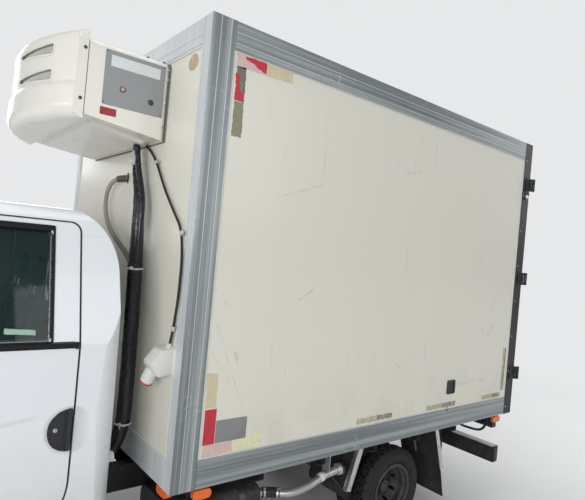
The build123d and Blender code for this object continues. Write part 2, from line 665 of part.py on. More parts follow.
def rear_wheels():
    """Left rear pair: inner and outer tyre, both rims and the hub with its drum."""
    x, z = rear_axle_x, rear_tyre_radius
    middle = (rear_outer_y + rear_inner_y) / 2
    tyres = [tyre(x, y, rear_tyre_radius, rear_tyre_width, rear_rim_radius, rear_rim_width / 2 - 8.5)
             for y in (rear_inner_y, rear_outer_y)]
    bell = dual_spacing / 2 - 22.0
    inner = rim(x, rear_inner_y, z, rear_rim_radius, rear_rim_width, middle - 0.25, 40.0, bell)
    inner += cross_ring(x, z, 118.0, 60.0, middle - 120.0, middle - 14.0)
    inner += cross_ring(x, z, 112.0, 60.0, middle - 16.0, middle - 4.0)
    inner += cross_ring(x, z, 62.0, 35.0 + running_gap, middle - 110.0, middle - 2.0)
    outer = rim(x, rear_outer_y, z, rear_rim_radius, rear_rim_width, middle + 0.25, 40.0, bell)
    hub = cross_ring(x, z, 39.7, 35.0 + running_gap, middle - 2.0, middle + 70.0)
    hub += cross_ring(x, z, 39.7, 0, middle + 62.0, middle + 70.0)
    inner += hub
    return tyres, [inner, outer]


def rear_axle():
    """Banjo axle with its drive shaft to the gearbox."""
    x, z = rear_axle_x, rear_tyre_radius
    middle = (rear_outer_y + rear_inner_y) / 2
    reach = middle - 130.0
    axle = cross_ring(x, z, 48.0, 0, -reach, reach)
    for low, high, radius in ((-62.0, 56.0, 128.0), (-84.0, 100.0, 98.0), (90.0, 190.0, 52.0)):
        axle += rod((x + low, 0, z), (x + high, 0, z), radius)
    for way in (-1, 1):
        ends = sorted((way * (reach - 10.0), way * (middle + 50.0)))
        axle += cross_ring(x, z, 35.0, 0, ends[0], ends[1])
        axle += cross_ring(x, z, 95.0, 0, *sorted((way * (reach - 10.0), way * reach)))
        seat = sorted((way * (spring_y - 35.0), way * (spring_y + 35.0)))
        axle += block((x - 50.0, x + 50.0), seat, (z, z + rear_seat_rise))
    shaft = rod((x + 190.6, 0, z + 12.5), (ahead(36.0), 0, 470.0), 32.0)
    save("rear_axle", axle, shaft)


def engine(bundle):
    """Engine and gearbox as one plain block between the rails."""
    low, high = 430.0, deck_height - 12.0
    block_x = (ahead(450.0), ahead(1180.0))
    engine_block = block(block_x, (-215.0, 215.0), (low, high))
    for way in (-1, 1):
        engine_block += block((ahead(700.0), ahead(780.0)),
                              sorted((way * 200.0, way * (rail_outer - rail_web))), (520.0, 560.0))
    engine_block += rod((ahead(240.0), 0, 500.0), (ahead(460.0), 0, 520.0), 120.0)
    engine_block += rod((ahead(40.0), 0, 470.0), (ahead(260.0), 0, 490.0), 80.0)
    engine_block -= bundle
    save("engine_block", engine_block)


def exhaust():
    """Down pipe, silencer and tail pipe under the right rail."""
    pipe_y, pipe_z = -492.0, 446.0
    silencer_x = (ahead(-660.0), ahead(-110.0))
    down = bent_tube([(ahead(500.0), -150.0, 430.0), (ahead(500.0), -150.0, 395.0), (ahead(480.0), -180.0, 360.0),
                      (ahead(380.0), -300.0, 355.0), (ahead(260.0), -455.0, 400.0), (ahead(100.0), -490.0, 440.0),
                      (silencer_x[1] - 20.0, pipe_y, pipe_z)], exhaust_radius)
    tail = bent_tube([(silencer_x[0] + 20.0, pipe_y, pipe_z), (ahead(-960.0), pipe_y, pipe_z),
                      (ahead(-1040.0), pipe_y - 150.0, pipe_z - 26.0)], exhaust_radius)
    silencer = rod((silencer_x[0], pipe_y, pipe_z), (silencer_x[1], pipe_y, pipe_z), 72.0)
    for place in (-180.0, -600.0):
        silencer += block((ahead(place - 12.0), ahead(place + 12.0)), (-500.0, -rail_outer), (500.0, 540.0))
    save("exhaust", silencer + down + tail)


def fuel_tank():
    """Tank on the left rail with two hanging brackets, and its filler pipe."""
    x_pair = (ahead(-660.0), ahead(-110.0))
    tank = block(x_pair, (410.0, 770.0), (285.0, 545.0))
    tank = fillet([edge for edge in tank.edges() if abs(edge.length - (x_pair[1] - x_pair[0])) < 1], 55.0)
    for place in (-220.0, -540.0):
        tank += block((ahead(place - 20.0), ahead(place + 20.0)), (rail_outer, 600.0), (540.0, 580.0))
    save("fuel_tank", tank)
    route = [(ahead(-660.0), 705.0, 470.0), (ahead(-740.0), 705.0, 470.0), (ahead(-850.0), 800.0, 472.0),
             (ahead(-950.0), 840.0, 510.0), (ahead(-1060.0), 852.0, 560.0), (ahead(-1160.0), 862.0, 578.0)]
    pipe = bent_tube(route, 24.0)
    pipe += rod((ahead(-1150.0), 860.0, 577.0), (ahead(-1185.0), 868.0, 582.0), 34.0)
    pipe += block((ahead(-1075.0), ahead(-1071.0)), (820.0, 880.0), (560.0, box_bottom))
    save("filler_pipe", pipe)


def mudguards():
    """Sheets before and behind the twin wheels, hung from the box floor."""
    inner, outer = rear_inner_y - rear_tyre_width / 2 - 10.0, rear_outer_y + rear_tyre_width / 2 + 45.0
    sheet = 5.0
    x = rear_axle_x
    pieces = []
    top = box_bottom
    front_rows = [(x + 395.0, top, 0.0), (x + 505.0, 400.0, 0.0), (x + 500.0, 360.0, 0.0),
                  (x + 500.0 + sheet, 360.0, 0.0), (x + 505.0 + sheet, 400.0, 0.0), (x + 400.0 + sheet, top, 0.0)]
    rear_rows = [(x - 360.0, top, 0.0), (x - 490.0, 334.0, 60.0), (x - 540.0, 140.0, 0.0),
                 (x - 540.0 - sheet, 140.0, 0.0), (x - 490.0 - sheet, 334.0, 60.0), (x - 365.0 - sheet, top, 0.0)]
    for rows, flange_x in ((front_rows, (x + 380.0, x + 400.0)), (rear_rows, (x - 365.0, x - 345.0))):
        guard = side_prism(rows, inner, outer - 18.0)
        guard += block(flange_x, (inner + 20.0, inner + 270.0), (top - 3.0, panel_low))
        pieces += pair(guard)
    save("mudguards", pieces)


def rear_bar_and_lamps():
    bar_x = (ahead(-2940.0), ahead(-2890.0))
    bar = cross_prism([(-920.0, 312.0, 12.0), (920.0, 312.0, 12.0), (920.0, 447.0, 12.0), (-920.0, 447.0, 12.0)],
                      bar_x[0], bar_x[1])
    for way in (-1, 1):
        bar += block((bar_x[1] - 8.0, bar_x[1] + 42.0), sorted((way * rail_outer, way * (rail_outer + 45.0))),
                     (330.0, 620.0))
    save("underrun_bar", bar)
    lamps = []
    for way in (-1, 1):
        lamp = block((frame_back + 10.0, frame_back + 60.0), sorted((way * 610.0, way * 850.0)), (565.0, 660.0))
        lamp += block((frame_back + 30.0, frame_back + 36.0), sorted((way * 690.0, way * 770.0)), (655.0, box_bottom))
        lamps.append(lamp)
    save("tail_lamps", lamps)
    markers = []
    lamp_low, lamp_high = 652.0, 698.0
    for place in (-185.0, -2860.0):
        rows = [(ahead(place - 50.0), lamp_low, 20.0), (ahead(place + 50.0), lamp_low, 20.0),
                (ahead(place + 50.0), lamp_high, 20.0), (ahead(place - 50.0), lamp_high, 20.0)]
        marker = side_prism(rows, box_half - 60.0, box_half - 28.0)
        marker += block((ahead(place - 20.0), ahead(place + 20.0)), (box_half - 64.0, box_half - 58.0),
                        (660.0, box_bottom))
        markers += pair(marker)
    low_y, high_y = box_half - 198.0, box_half - 98.0
    rows = [(low_y, lamp_low, 20.0), (high_y, lamp_low, 20.0), (high_y, lamp_high, 20.0), (low_y, lamp_high, 20.0)]
    marker = cross_prism(rows, ahead(-60.0), ahead(-28.0))
    marker += block((ahead(-64.0), ahead(-58.0)), (low_y + 30.0, high_y - 30.0), (660.0, box_bottom))
    markers += pair(marker)
    save("marker_lamps", markers)


# Cab
nose_bow = 2500.0             # plan radius of the nose and windscreen
back_plan_radius = 130.0
roof_back_radius = 300.0
cab_low = 300.0
belt_height = 1400.0
roof_split_height = 1855.0
roof_edge_height = 1962.0
roof_edge_in = 158.0          # roof edge inboard of the cab's side
door_back = 416.0             # door opening's edges, ahead of the box
door_front = 1338.0
door_hinge_heights = (720.0, 1180.0)
hinge_pin_radius = 3.5
hinge_barrel_radius = 8.0


def cab_form(side, back, roof, front):
    """The cab's outside form, set in by these amounts at its sides, back, roof and front."""
    axis_x = front_x - nose_bow
    rows = [(axis_x, cab_low, 0.0), (front_x - front - 30.0, cab_low, 30.0), (front_x - front, 430.0, 30.0),
            (front_x - front, 600.0, 18.0), (ahead(2090.0) - front, 640.0, 0.0),
            (ahead(2030.0) - front, 1000.0, 110.0), (ahead(1740.0) - front, 1262.0, 80.0),
            (ahead(1100.0) - front, 1955.0 - roof / 2, 150.0), (ahead(750.0), 2015.0 - roof, 0.0),
            (axis_x, 2020.0 - roof, 0.0)]
    plane = Plane((0, 0, 0), x_dir=(1, 0, 0), z_dir=(0, -1, 0))
    form = revolve(outline(plane, rows), axis=Axis((axis_x, 0, 0), (0, 0, 1)), revolution_arc=360)
    rows = [(front_x + 50.0, cab_low - 1.0, 0.0), (ahead(215.0) + back, cab_low - 1.0, 0.0),
            (ahead(262.0) + back, roof_height + 6.0 - roof, roof_back_radius - 0.8 * roof),
            (front_x + 50.0, roof_height + 6.0 - roof, 0.0)]
    form &= side_prism(rows, -beyond, beyond)
    half = cab_half - side
    roof_edge = half - roof_edge_in
    rows = [(half - 12.0, cab_low - 2.0, 0.0), (half, 1100.0, 400.0), (half - 4.0, belt_height, 120.0),
            (roof_edge, roof_edge_height - roof, 110.0), (0.0, roof_height - roof, 0.0),
            (-roof_edge, roof_edge_height - roof, 110.0), (4.0 - half, belt_height, 120.0),
            (-half, 1100.0, 400.0), (12.0 - half, cab_low - 2.0, 0.0)]
    form &= cross_prism(rows, 0.0, 3200.0)
    corner = back_plan_radius - back
    low_x = ahead(215.0) + back
    nose_x = front_x - front
    edge = half + 0.5
    nose_rows = [(nose_x + 20.0, 0.35 * edge, 0.0), (nose_x - 50.0, 0.60 * edge, 400.0),
                 (nose_x - 165.0, edge - 80.0, 120.0), (nose_x - 330.0, edge, 100.0)]
    rows = nose_rows + [(low_x, edge, corner), (low_x, -edge, corner)]
    rows += [(x, -y, radius) for x, y, radius in reversed(nose_rows)]
    form &= plan_prism(rows, cab_low - 5.0, roof_height + 100.0)
    return form


def door_outline():
    """Door opening in X and Z, before the wheel arch is cut from it."""
    rows = [(ahead(door_back), 575.0, 270.0), (ahead(door_front), 575.0, 20.0), (ahead(door_front), 1380.0, 60.0),
            (ahead(880.0), 1910.0, 40.0), (ahead(door_back), 1910.0, 45.0)]
    plane = Plane((0, 0, 0), x_dir=(1, 0, 0), z_dir=(0, -1, 0))
    return outline(plane, rows)


def arch_cut(radius):
    return rod((front_axle_x, -beyond, front_tyre_radius), (front_axle_x, beyond, front_tyre_radius), radius)


def handle_recess():
    """Shallow round dish pressed into the door's edge and the body behind it, on both sides."""
    dish = (handle_recess_radius**2 + handle_recess_depth**2) / (2 * handle_recess_depth)
    ball = Pos(ahead(433.0), cab_half + dish - handle_recess_depth, 1055.0) * Sphere(dish)
    return pair(ball)


def door_hinge(middle):
    """One hinge of the left door: the pillar's half with its pin, the door's half, and the room each needs."""
    x, y = ahead(door_front) - 3.0, cab_half + 2.0
    half, end = 15.0, 32.0
    pillar = rod((x, y, middle - end), (x, y, middle + end), hinge_pin_radius)
    pillar_room = []
    for low, high in ((middle - end, middle - half - 1.0), (middle + half + 1.0, middle + end)):
        pillar += rod((x, y, low), (x, y, high), hinge_barrel_radius)
        pillar += block((x, x + 30.0), (y - 30.0, y), (low, high))
        pillar_room.append(rod((x, y, low - 1.0), (x, y, high + 1.0), hinge_barrel_radius + 1.0))
    leaf = rod((x, y, middle - half), (x, y, middle + half), hinge_barrel_radius)
    leaf += block((x - 30.0, x), (y - 12.0, y), (middle - half, middle + half))
    bore = rod((x, y, middle - end), (x, y, middle + end), hinge_pin_radius + running_gap)
    leaf_room = rod((x, y, middle - half - 1.0), (x, y, middle + half + 1.0), hinge_barrel_radius + 1.0)
    return pillar, leaf, bore, pillar_room, leaf_room


def cab():
    outer = cab_form(0.0, 0.0, 0.0, 0.0)
    cabin = cab_form(door_thick, cab_wall, cab_wall, cab_wall)
    shell = outer - cabin
    opening = extrude(door_outline(), amount=beyond, dir=(0, 1, 0))
    opening += mirrored(opening)
    arch = arch_cut(arch_radius)
    windows = window_cuts()
    lamp_in, lamp_out = cab_half - 350.0, cab_half - 35.0
    lamp_rows = [(lamp_in, 780.0, 30.0), (lamp_out, 780.0, 30.0), (lamp_out, 925.0, 40.0),
                 (lamp_in + 20.0, 950.0, 40.0)]
    lamp_cut = cross_prism(lamp_rows, ahead(1500.0), front_x)
    lamp_cut += mirrored(lamp_cut)
    below_back = block((0.0, ahead(420.0)), (120.0 - cab_half, cab_half - 120.0), (0.0, deck_height - 5.0))
    skirt_cut = block((0.0, front_axle_x), (-beyond, beyond), (0.0, 420.0))
    bumper_zone = block((ahead(1258.0), front_x + 10.0), (-beyond, beyond), (0.0, 600.0))
    body = shell - opening - arch - below_back - skirt_cut
    for recess in handle_recess():
        body = body - recess
    front_bumper = body & bumper_zone
    for height in (372.0, 424.0, 476.0):
        rows = [(-380.0, height, 15.0), (380.0, height, 15.0), (380.0, height + 34.0, 15.0),
                (-380.0, height + 34.0, 15.0)]
        front_bumper = front_bumper - cross_prism(rows, ahead(1900.0), front_x + 10.0)
    body = body - bumper_zone
    for cut in windows:
        body = body - cut
    headlamps = (body & lamp_cut) - cab_form(door_thick, 0.0, 0.0, 0.0 + cab_wall - 5.0)
    body = body - lamp_cut
    roof_split = block((0.0, 4000.0), (-beyond, beyond), (roof_split_height, 3000.0))
    rear_half = block((0.0, front_axle_x), (-beyond, beyond), (0.0, roof_split_height))
    save("cab_roof", body & roof_split)
    save("cab_back", body & rear_half)
    nose = (body - roof_split) - rear_half
    for height in door_hinge_heights:
        pillar, leaf, bore, pillar_room, leaf_room = door_hinge(height)
        nose = nose - leaf_room - mirrored(leaf_room) + pillar + mirrored(pillar)
    for height in (690.0, 738.0):
        rows = [(-430.0, height, 13.0), (430.0, height, 13.0), (430.0, height + 30.0, 13.0),
                (-430.0, height + 30.0, 13.0)]
        nose = nose - cross_prism(rows, firewall_x + floor_plate + 1.0, front_x + 10.0)
    save("cab_front", nose)
    save("front_bumper", front_bumper)
    save("headlamps", headlamps)
    pane_zone = cab_form(20.0, 20.0, 20.0, 20.0) - cab_form(25.0, 25.0, 25.0, 25.0)
    save("cab_windows", pane_zone & windows[0], pane_zone & windows[1])
    doors(outer)
    cab_inside()


def window_cuts():
    """Windscreen and rear window openings."""
    low, high = cab_half - 170.0, cab_half - 270.0
    rows = [(-low, 1330.0, 60.0), (low, 1330.0, 60.0), (high, 1850.0, 60.0), (-high, 1850.0, 60.0)]
    screen = cross_prism(rows, ahead(900.0), front_x)
    low, high = cab_half - 310.0, cab_half - 330.0
    rows = [(-low, 1400.0, 60.0), (low, 1400.0, 60.0), (high, 1680.0, 60.0), (-high, 1680.0, 60.0)]
    rear = cross_prism(rows, ahead(100.0), ahead(420.0))
    return [screen, rear]


def doors(outer):
    """Left door, with its glass and mirror, and their mirror images."""
    opening = door_outline()
    skin_face = offset(opening, amount=-door_gap)
    inner_face = offset(opening, amount=-door_gap - door_inner_step)
    skin_zone = extrude(skin_face, amount=beyond, dir=(0, 1, 0))
    inner_zone = extrude(inner_face, amount=beyond, dir=(0, 1, 0))
    behind_skin = cab_form(door_skin, 0.0, door_skin, 0.0)
    behind_door = cab_form(door_thick, 0.0, door_thick, 0.0)
    door = (outer - behind_skin) & skin_zone
    door += (outer - behind_door) & inner_zone
    door = door - arch_cut(arch_radius) - handle_recess()[0]
    for height in door_hinge_heights:
        pillar, leaf, bore, pillar_room, leaf_room = door_hinge(height)
        door = door + leaf - bore
        for room in pillar_room:
            door = door - room
    rows = [(ahead(532.0), 1420.0, 20.0), (ahead(1205.0), 1420.0, 30.0), (ahead(808.0), 1875.0, 40.0),
            (ahead(532.0), 1875.0, 40.0)]
    window = side_prism(rows, 0.0, beyond)
    door = door - window
    glass = (cab_form(20.0, 0.0, 20.0, 0.0) - cab_form(20.0 + glass_thick, 0.0, 20.0 + glass_thick, 0.0)) & window
    head = side_prism([(ahead(1262.0), 1220.0, 25.0), (ahead(1322.0), 1220.0, 25.0), (ahead(1322.0), 1480.0, 25.0),
                       (ahead(1262.0), 1480.0, 25.0)], cab_half + 25.0, cab_half + 190.0)
    for height in (1260.0, 1370.0):
        head += rod((ahead(1290.0), cab_half - 6.0, height), (ahead(1290.0), cab_half + 30.0, height), 10.0)
    head += block((ahead(1270.0), ahead(1310.0)), (cab_half - 2.0, cab_half + 6.0), (1235.0, 1395.0))
    head = head - outer
    for side, change in (("left", lambda shape: shape), ("right", mirrored)):
        save(f"cab_door_{side}", change(door))
        save(f"door_glass_{side}", change(glass))
        save(f"mirror_{side}", change(head))


steering_centre = (ahead(1290.0), 380.0, 1215.0)
steering_rake = math.radians(38.0)        # column above the horizontal
steering_wheel_radius = 190.0
hub_height = 40.0


def cab_inside():
    """Floor, wheel housings, dashboard, seats and steering wheel."""
    cabin = cab_form(door_thick + 10.0, cab_wall, cab_wall, cab_wall)
    plate = floor_plate
    rows = [(ahead(200.0), deck_height, 0.0), (ahead(1362.0), deck_height, 0.0),
            (ahead(1362.0), footwell_height, 0.0), (firewall_x + plate, footwell_height, 0.0),
            (firewall_x + plate, 1400.0, 0.0), (firewall_x, 1400.0, 0.0), (firewall_x, footwell_height + plate, 0.0),
            (ahead(1362.0) + plate, footwell_height + plate, 0.0),
            (ahead(1362.0) + plate, deck_height + plate, 0.0), (ahead(200.0), deck_height + plate, 0.0)]
    floor = side_prism(rows, -beyond, beyond) & cabin
    for place, top in ((ahead(430.0), deck_height), (ahead(1600.0), footwell_height)):
        for way in (-1, 1):
            floor += rod((place, way * spring_y, rail_top), (place, way * spring_y, top + 5.0), 30.0)
    housings = []
    housing = cross_ring(front_axle_x, front_tyre_radius, arch_radius + 6.0, arch_radius, 480.0, cab_half - 85.0)
    housing -= block((0.0, 4000.0), (0.0, 1000.0), (-200.0, front_tyre_radius + 60.0))
    housing += block((front_axle_x - 60.0, front_axle_x + 60.0), (500.0, 780.0),
                     (front_tyre_radius + arch_radius + 1.0, deck_height - 0.5))
    housings += pair(housing)
    save("cab_floor", floor, housings)

    rows = [(ahead(1520.0), 1010.0, 40.0), (ahead(1470.0), 1130.0, 40.0), (ahead(1500.0), 1262.0, 30.0),
            (ahead(1640.0), 1262.0, 40.0), (firewall_x - 0.4, 1120.0, 0.0), (firewall_x - 0.4, 1010.0, 0.0)]
    dash = side_prism(rows, -beyond, beyond)
    dash &= cab_form(door_thick + 12.0, cab_wall + 2.0, cab_wall + 2.0, cab_wall + 2.0)
    way = Vector(-math.cos(steering_rake), 0, math.sin(steering_rake))
    centre = Vector(*steering_centre)
    column_end = centre - way * (hub_height / 2 + running_gap)
    dash += rod(tuple(centre - way * 290.0), tuple(column_end), 26.0)
    save("dashboard", dash)

    seats = []
    for middle, width in ((420.0, 480.0), (-30.0, 360.0), (-460.0, 440.0)):
        low_y, high_y = middle - width / 2, middle + width / 2
        seat_low = deck_height + plate
        cushion = side_prism([(ahead(480.0), seat_low, 0.0), (ahead(960.0), seat_low, 20.0),
                              (ahead(985.0), 1010.0, 40.0), (ahead(940.0), 1060.0, 40.0),
                              (ahead(480.0), 1015.0, 20.0)], low_y, high_y)
        back = side_prism([(ahead(500.0), 900.0, 0.0), (ahead(600.0), 985.0, 30.0), (ahead(480.0), 1560.0, 40.0),
                           (ahead(395.0), 1560.0, 40.0), (ahead(440.0), 900.0, 0.0)], low_y, high_y)
        rest = side_prism([(ahead(385.0), 1540.0, 20.0), (ahead(465.0), 1540.0, 20.0), (ahead(448.0), 1740.0, 30.0),
                           (ahead(368.0), 1740.0, 30.0)], middle - 120.0, middle + 120.0)
        seats.append(cushion + back + rest)
    save("seats", seats)

    plane = Plane(origin=centre, z_dir=way)
    grip = [(steering_wheel_radius + 15.0 * math.cos(math.radians(turn)), 15.0 * math.sin(math.radians(turn)))
            for turn in range(0, 360, 45)]
    section = Plane(origin=centre, x_dir=plane.x_dir, z_dir=plane.y_dir)
    face = make_face(Polyline(*[section.from_local_coords(Vector(a, b, 0)) for a, b in grip], close=True).edges())
    wheel = revolve(face, axis=Axis(centre, way), revolution_arc=360)
    wheel += plane * Cylinder(48.0, hub_height)
    for turn in (90.0, 210.0, 330.0):
        spoke = plane * (Rot(0, 0, turn) * (Pos(steering_wheel_radius / 2, 0, 0) * Box(steering_wheel_radius, 26, 12)))
        wheel += spoke
    save("steering_wheel", wheel)


def running_gear():
    springs = leaf_spring(front_axle_x, beam_high + 10.0)
    springs += leaf_spring(rear_axle_x, rear_tyre_radius + rear_seat_rise)
    springs = [piece for spring in springs for piece in pair(spring)]
    save("leaf_springs", springs)
    front_axle()
    rear_axle()
    left_knuckle = knuckle(True)
    tyre_left, wheel_left = front_wheel()
    twin_tyres, twin_rims = rear_wheels()
    for side, change in (("left", lambda shape: shape), ("right", mirrored)):
        save(f"front_tyre_{side}", change(tyre_left))
        save(f"front_rim_{side}", change(wheel_left))
        save(f"rear_tyres_{side}", [change(piece) for piece in twin_tyres])
        save(f"rear_rims_{side}", [change(piece) for piece in twin_rims])
    save("knuckle_left", left_knuckle)
    save("knuckle_right", mirrored(knuckle(False)))
    save("track_rod", track_rod())


def rear_doors():
    leaf = rear_leaf()
    gear = leaf_gear()
    for side, change in (("left", lambda shape: shape), ("right", mirrored)):
        save(f"rear_door_{side}", change(leaf))
        save(f"rear_door_gear_{side}", [change(piece) for piece in gear])
    save("door_hinge_brackets", hinge_brackets())


hose_bundle, drain_hose = hoses()
box_panels(drain_hose)
edge_extrusions()
rear_frame()
rear_doors()
refrigeration_unit(hose_bundle)
ladder_frame()
running_gear()
engine(hose_bundle)
exhaust()
fuel_tank()
mudguards()
rear_bar_and_lamps()
cab()
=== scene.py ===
import json
import math
import random
from itertools import product

import bmesh
import bpy
from mathutils import Matrix, Vector


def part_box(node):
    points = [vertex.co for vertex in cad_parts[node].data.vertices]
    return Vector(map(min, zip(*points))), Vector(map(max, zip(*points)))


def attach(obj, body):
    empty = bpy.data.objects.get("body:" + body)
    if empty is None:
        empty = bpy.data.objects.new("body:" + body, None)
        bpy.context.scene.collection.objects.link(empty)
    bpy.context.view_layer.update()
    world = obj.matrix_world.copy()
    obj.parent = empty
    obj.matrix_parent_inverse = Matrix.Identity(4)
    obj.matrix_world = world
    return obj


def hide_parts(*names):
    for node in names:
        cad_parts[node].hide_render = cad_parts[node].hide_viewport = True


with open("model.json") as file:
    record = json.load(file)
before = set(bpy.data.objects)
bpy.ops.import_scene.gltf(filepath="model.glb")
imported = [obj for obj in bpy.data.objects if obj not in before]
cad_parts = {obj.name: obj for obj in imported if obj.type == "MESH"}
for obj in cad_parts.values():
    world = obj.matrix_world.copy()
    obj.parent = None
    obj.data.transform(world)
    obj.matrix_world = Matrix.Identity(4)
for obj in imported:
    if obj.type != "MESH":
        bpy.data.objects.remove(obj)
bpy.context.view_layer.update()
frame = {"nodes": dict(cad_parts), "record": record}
nodes = frame["nodes"]
random.seed(7)

# Places, in metres. u runs forward from the box's front face.
post_low, post_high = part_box("edge_extrusions")
box_front = post_high.x
box_side = post_high.y
box_low, box_high = post_low.z, post_high.z
skin = 0.004                    # the extrusions stand this much proud of the panels
post_leg = 0.128
front_leg = 0.078
rail_leg = 0.138
rear_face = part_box("rear_frame")[0].x
cab_half = 0.870                # half width of the cab at its widest
front_radius, rear_radius = 0.327, 0.2875
front_wheel = (0.920, front_radius)     # u and height of the axle's middle
rear_wheel = (-1.780, rear_radius)
frame_body = "truck_frame"
door_bodies = {1: "left_cab_door", -1: "right_cab_door"}
leaf_bodies = {1: "left_rear_leaf", -1: "right_rear_leaf"}
side_names = {1: "left", -1: "right"}


def at(u, y, z):
    return Vector((box_front + u, y, z))


# Mesh parts: each function returns a bmesh, and a Form collects them into one piece
def soften(part, edges, offset, segments=2):
    bmesh.ops.bevel(part, geom=list(edges), offset=offset, offset_type="OFFSET", affect="EDGES",
                    segments=segments, profile=0.5, material=-1, clamp_overlap=True)


def placed(part, matrix):
    bmesh.ops.transform(part, matrix=matrix, verts=part.verts)
    bmesh.ops.recalc_face_normals(part, faces=part.faces)
    return part


def axes(origin, across, up, out):
    """Matrix that takes local x, y, z to these three directions at a point."""
    matrix = Matrix((across, up, out)).transposed().to_4x4()
    matrix.translation = origin
    return matrix


def on_side(level, side=1):
    """Local u, height and distance outwards on a face that looks left or right."""
    return axes((box_front, side * level, 0), (1, 0, 0), (0, 0, 1), (0, side, 0))


def on_front(u, way=1):
    """Local y, height and distance outwards on a face that looks forward or back."""
    return axes((box_front + u, 0, 0), (0, 1, 0), (0, 0, 1), (way, 0, 0))


def on_top(z, way=1):
    return axes((box_front, 0, z), (1, 0, 0), (0, 1, 0), (0, 0, way))


def rounded_box(low, high, edge=0.0, segments=2):
    part = bmesh.new()
    bmesh.ops.create_cube(part, size=1.0)
    low, high = Vector(low), Vector(high)
    bmesh.ops.scale(part, vec=high - low, verts=part.verts)
    bmesh.ops.translate(part, vec=(low + high) / 2, verts=part.verts)
    if edge:
        soften(part, part.edges, edge, segments)
    bmesh.ops.recalc_face_normals(part, faces=part.faces)
    return part


def rod(start, end, radius, sides=24, edge=0.0):
    part = bmesh.new()
    start, end = Vector(start), Vector(end)
    run = end - start
    bmesh.ops.create_cone(part, cap_ends=True, cap_tris=False, segments=sides, radius1=radius, radius2=radius,
                          depth=run.length)
    if edge:
        soften(part, [e for e in part.edges if abs(e.verts[0].co.z - e.verts[1].co.z) < 1e-6], edge)
    turn = run.to_track_quat("Z", "Y").to_matrix().to_4x4()
    return placed(part, Matrix.Translation((start + end) / 2) @ turn)


def turned(rows, centre, way, steps=48):
    """Rows of radius and distance along the axis, spun round it. Where none is on the axis it is a ring."""
    part = bmesh.new()
    verts = [part.verts.new((radius, 0, along)) for radius, along in rows]
    edges = [part.edges.new(ends) for ends in zip(verts, verts[1:])]
    if rows[0][0]:
        edges.append(part.edges.new((verts[-1], verts[0])))
    bmesh.ops.spin(part, geom=verts + edges, cent=(0, 0, 0), axis=(0, 0, 1), angle=2 * math.pi,
                   steps=steps, use_merge=True)
    bmesh.ops.remove_doubles(part, verts=part.verts, dist=1e-6)
    bmesh.ops.dissolve_degenerate(part, edges=part.edges, dist=1e-6)
    turn = Vector(way).to_track_quat("Z", "Y").to_matrix().to_4x4()
    return placed(part, Matrix.Translation(centre) @ turn)


def flat_face(rows, segments=6):
    """One face; each row is across, up and corner radius."""
    part = bmesh.new()
    verts = [part.verts.new((row[0], row[1], 0)) for row in rows]
    part.faces.new(verts)
    places = [vert.co.copy() for vert in verts]
    for index, vert in enumerate(verts):
        radius = rows[index][2] if len(rows[index]) > 2 else 0
        if radius:
            before = (places[index - 1] - places[index]).normalized()
            after = (places[(index + 1) % len(rows)] - places[index]).normalized()
            offset = radius / math.tan(before.angle(after) / 2)
            bmesh.ops.bevel(part, geom=[vert], offset=offset, offset_type="OFFSET", affect="VERTICES",
                            segments=segments, profile=0.5, material=-1, clamp_overlap=True)
    return part


def slab(rows, thickness, place=Matrix(), edge=0.0, start=0.0, segments=2, rim=0.0, both=False):
    """A plate: an outline with its own corner radii, thick along local z. With a rim it is a frame."""
    part = flat_face(rows)
    if rim:
        middle = list(part.faces)
        bmesh.ops.inset_region(part, faces=middle, thickness=rim, use_even_offset=True, use_boundary=True)
        bmesh.ops.delete(part, geom=middle, context="FACES")
    bmesh.ops.translate(part, vec=(0, 0, start), verts=part.verts)
    made = bmesh.ops.extrude_face_region(part, geom=list(part.faces))
    lifted = [item for item in made["geom"] if isinstance(item, bmesh.types.BMVert)]
    bmesh.ops.translate(part, vec=(0, 0, thickness), verts=lifted)
    if edge:
        ends = set(lifted)
        soften(part, [e for e in part.edges if (e.verts[0] in ends) == (e.verts[1] in ends)
                      and (both or e.verts[0] in ends) and len(e.link_faces) == 2
                      and e.calc_face_angle(0.0) > 0.5], edge, segments)
    return placed(part, place)


def outline_points(rows, segments=6):
    part = flat_face(rows, segments)
    face = next(iter(part.faces))
    points = [loop.vert.co.copy() for loop in face.loops]
    part.free()
    return points


def line_mesh(points, smoothness=8, closed=False, straight=False, radius=0.0, sides=4, radii=()):
    """Mesh of a line along points, as a smooth curve or as straight runs; with a radius it is a tube."""
    curve = bpy.data.curves.new("line", "CURVE")
    curve.dimensions = "3D"
    spline = curve.splines.new("POLY" if straight else "NURBS")
    spline.points.add(len(points) - 1)
    for point, place in zip(spline.points, points):
        point.co = (*place, 1.0)
    for point, share in zip(spline.points, radii):
        point.radius = share
    spline.use_cyclic_u = closed
    if not straight:
        spline.order_u = 3
        spline.use_endpoint_u = not closed
        spline.resolution_u = smoothness
    if radius:
        curve.bevel_depth = radius
        curve.bevel_resolution = max(0, sides // 2 - 2)
        curve.use_fill_caps = not closed
    holder = bpy.data.objects.new("line", curve)
    mesh = bpy.data.meshes.new_from_object(holder)
    bpy.data.objects.remove(holder)
    bpy.data.curves.remove(curve)
    return mesh


def tube(points, radius, sides=12, closed=False, straight=False, radii=()):
    """A round tube along points. Radii, one for each point, multiply radius."""
    mesh = line_mesh(points, 8, closed, straight, radius, sides, radii)
    part = bmesh.new()
    part.from_mesh(mesh)
    bpy.data.meshes.remove(mesh)
    bmesh.ops.remove_doubles(part, verts=part.verts, dist=1e-6)
    bmesh.ops.recalc_face_normals(part, faces=part.faces)
    return part


def band(centre, way, inner, outer, low, high, steps=40):
    """A flat ring round an axis, from low to high along it."""
    return turned([(inner, low), (outer, low), (outer, high), (inner, high)], centre, way, steps)


def block(middle, half, edge):
    half = Vector(half)
    return rounded_box(middle - half, middle + half, edge)


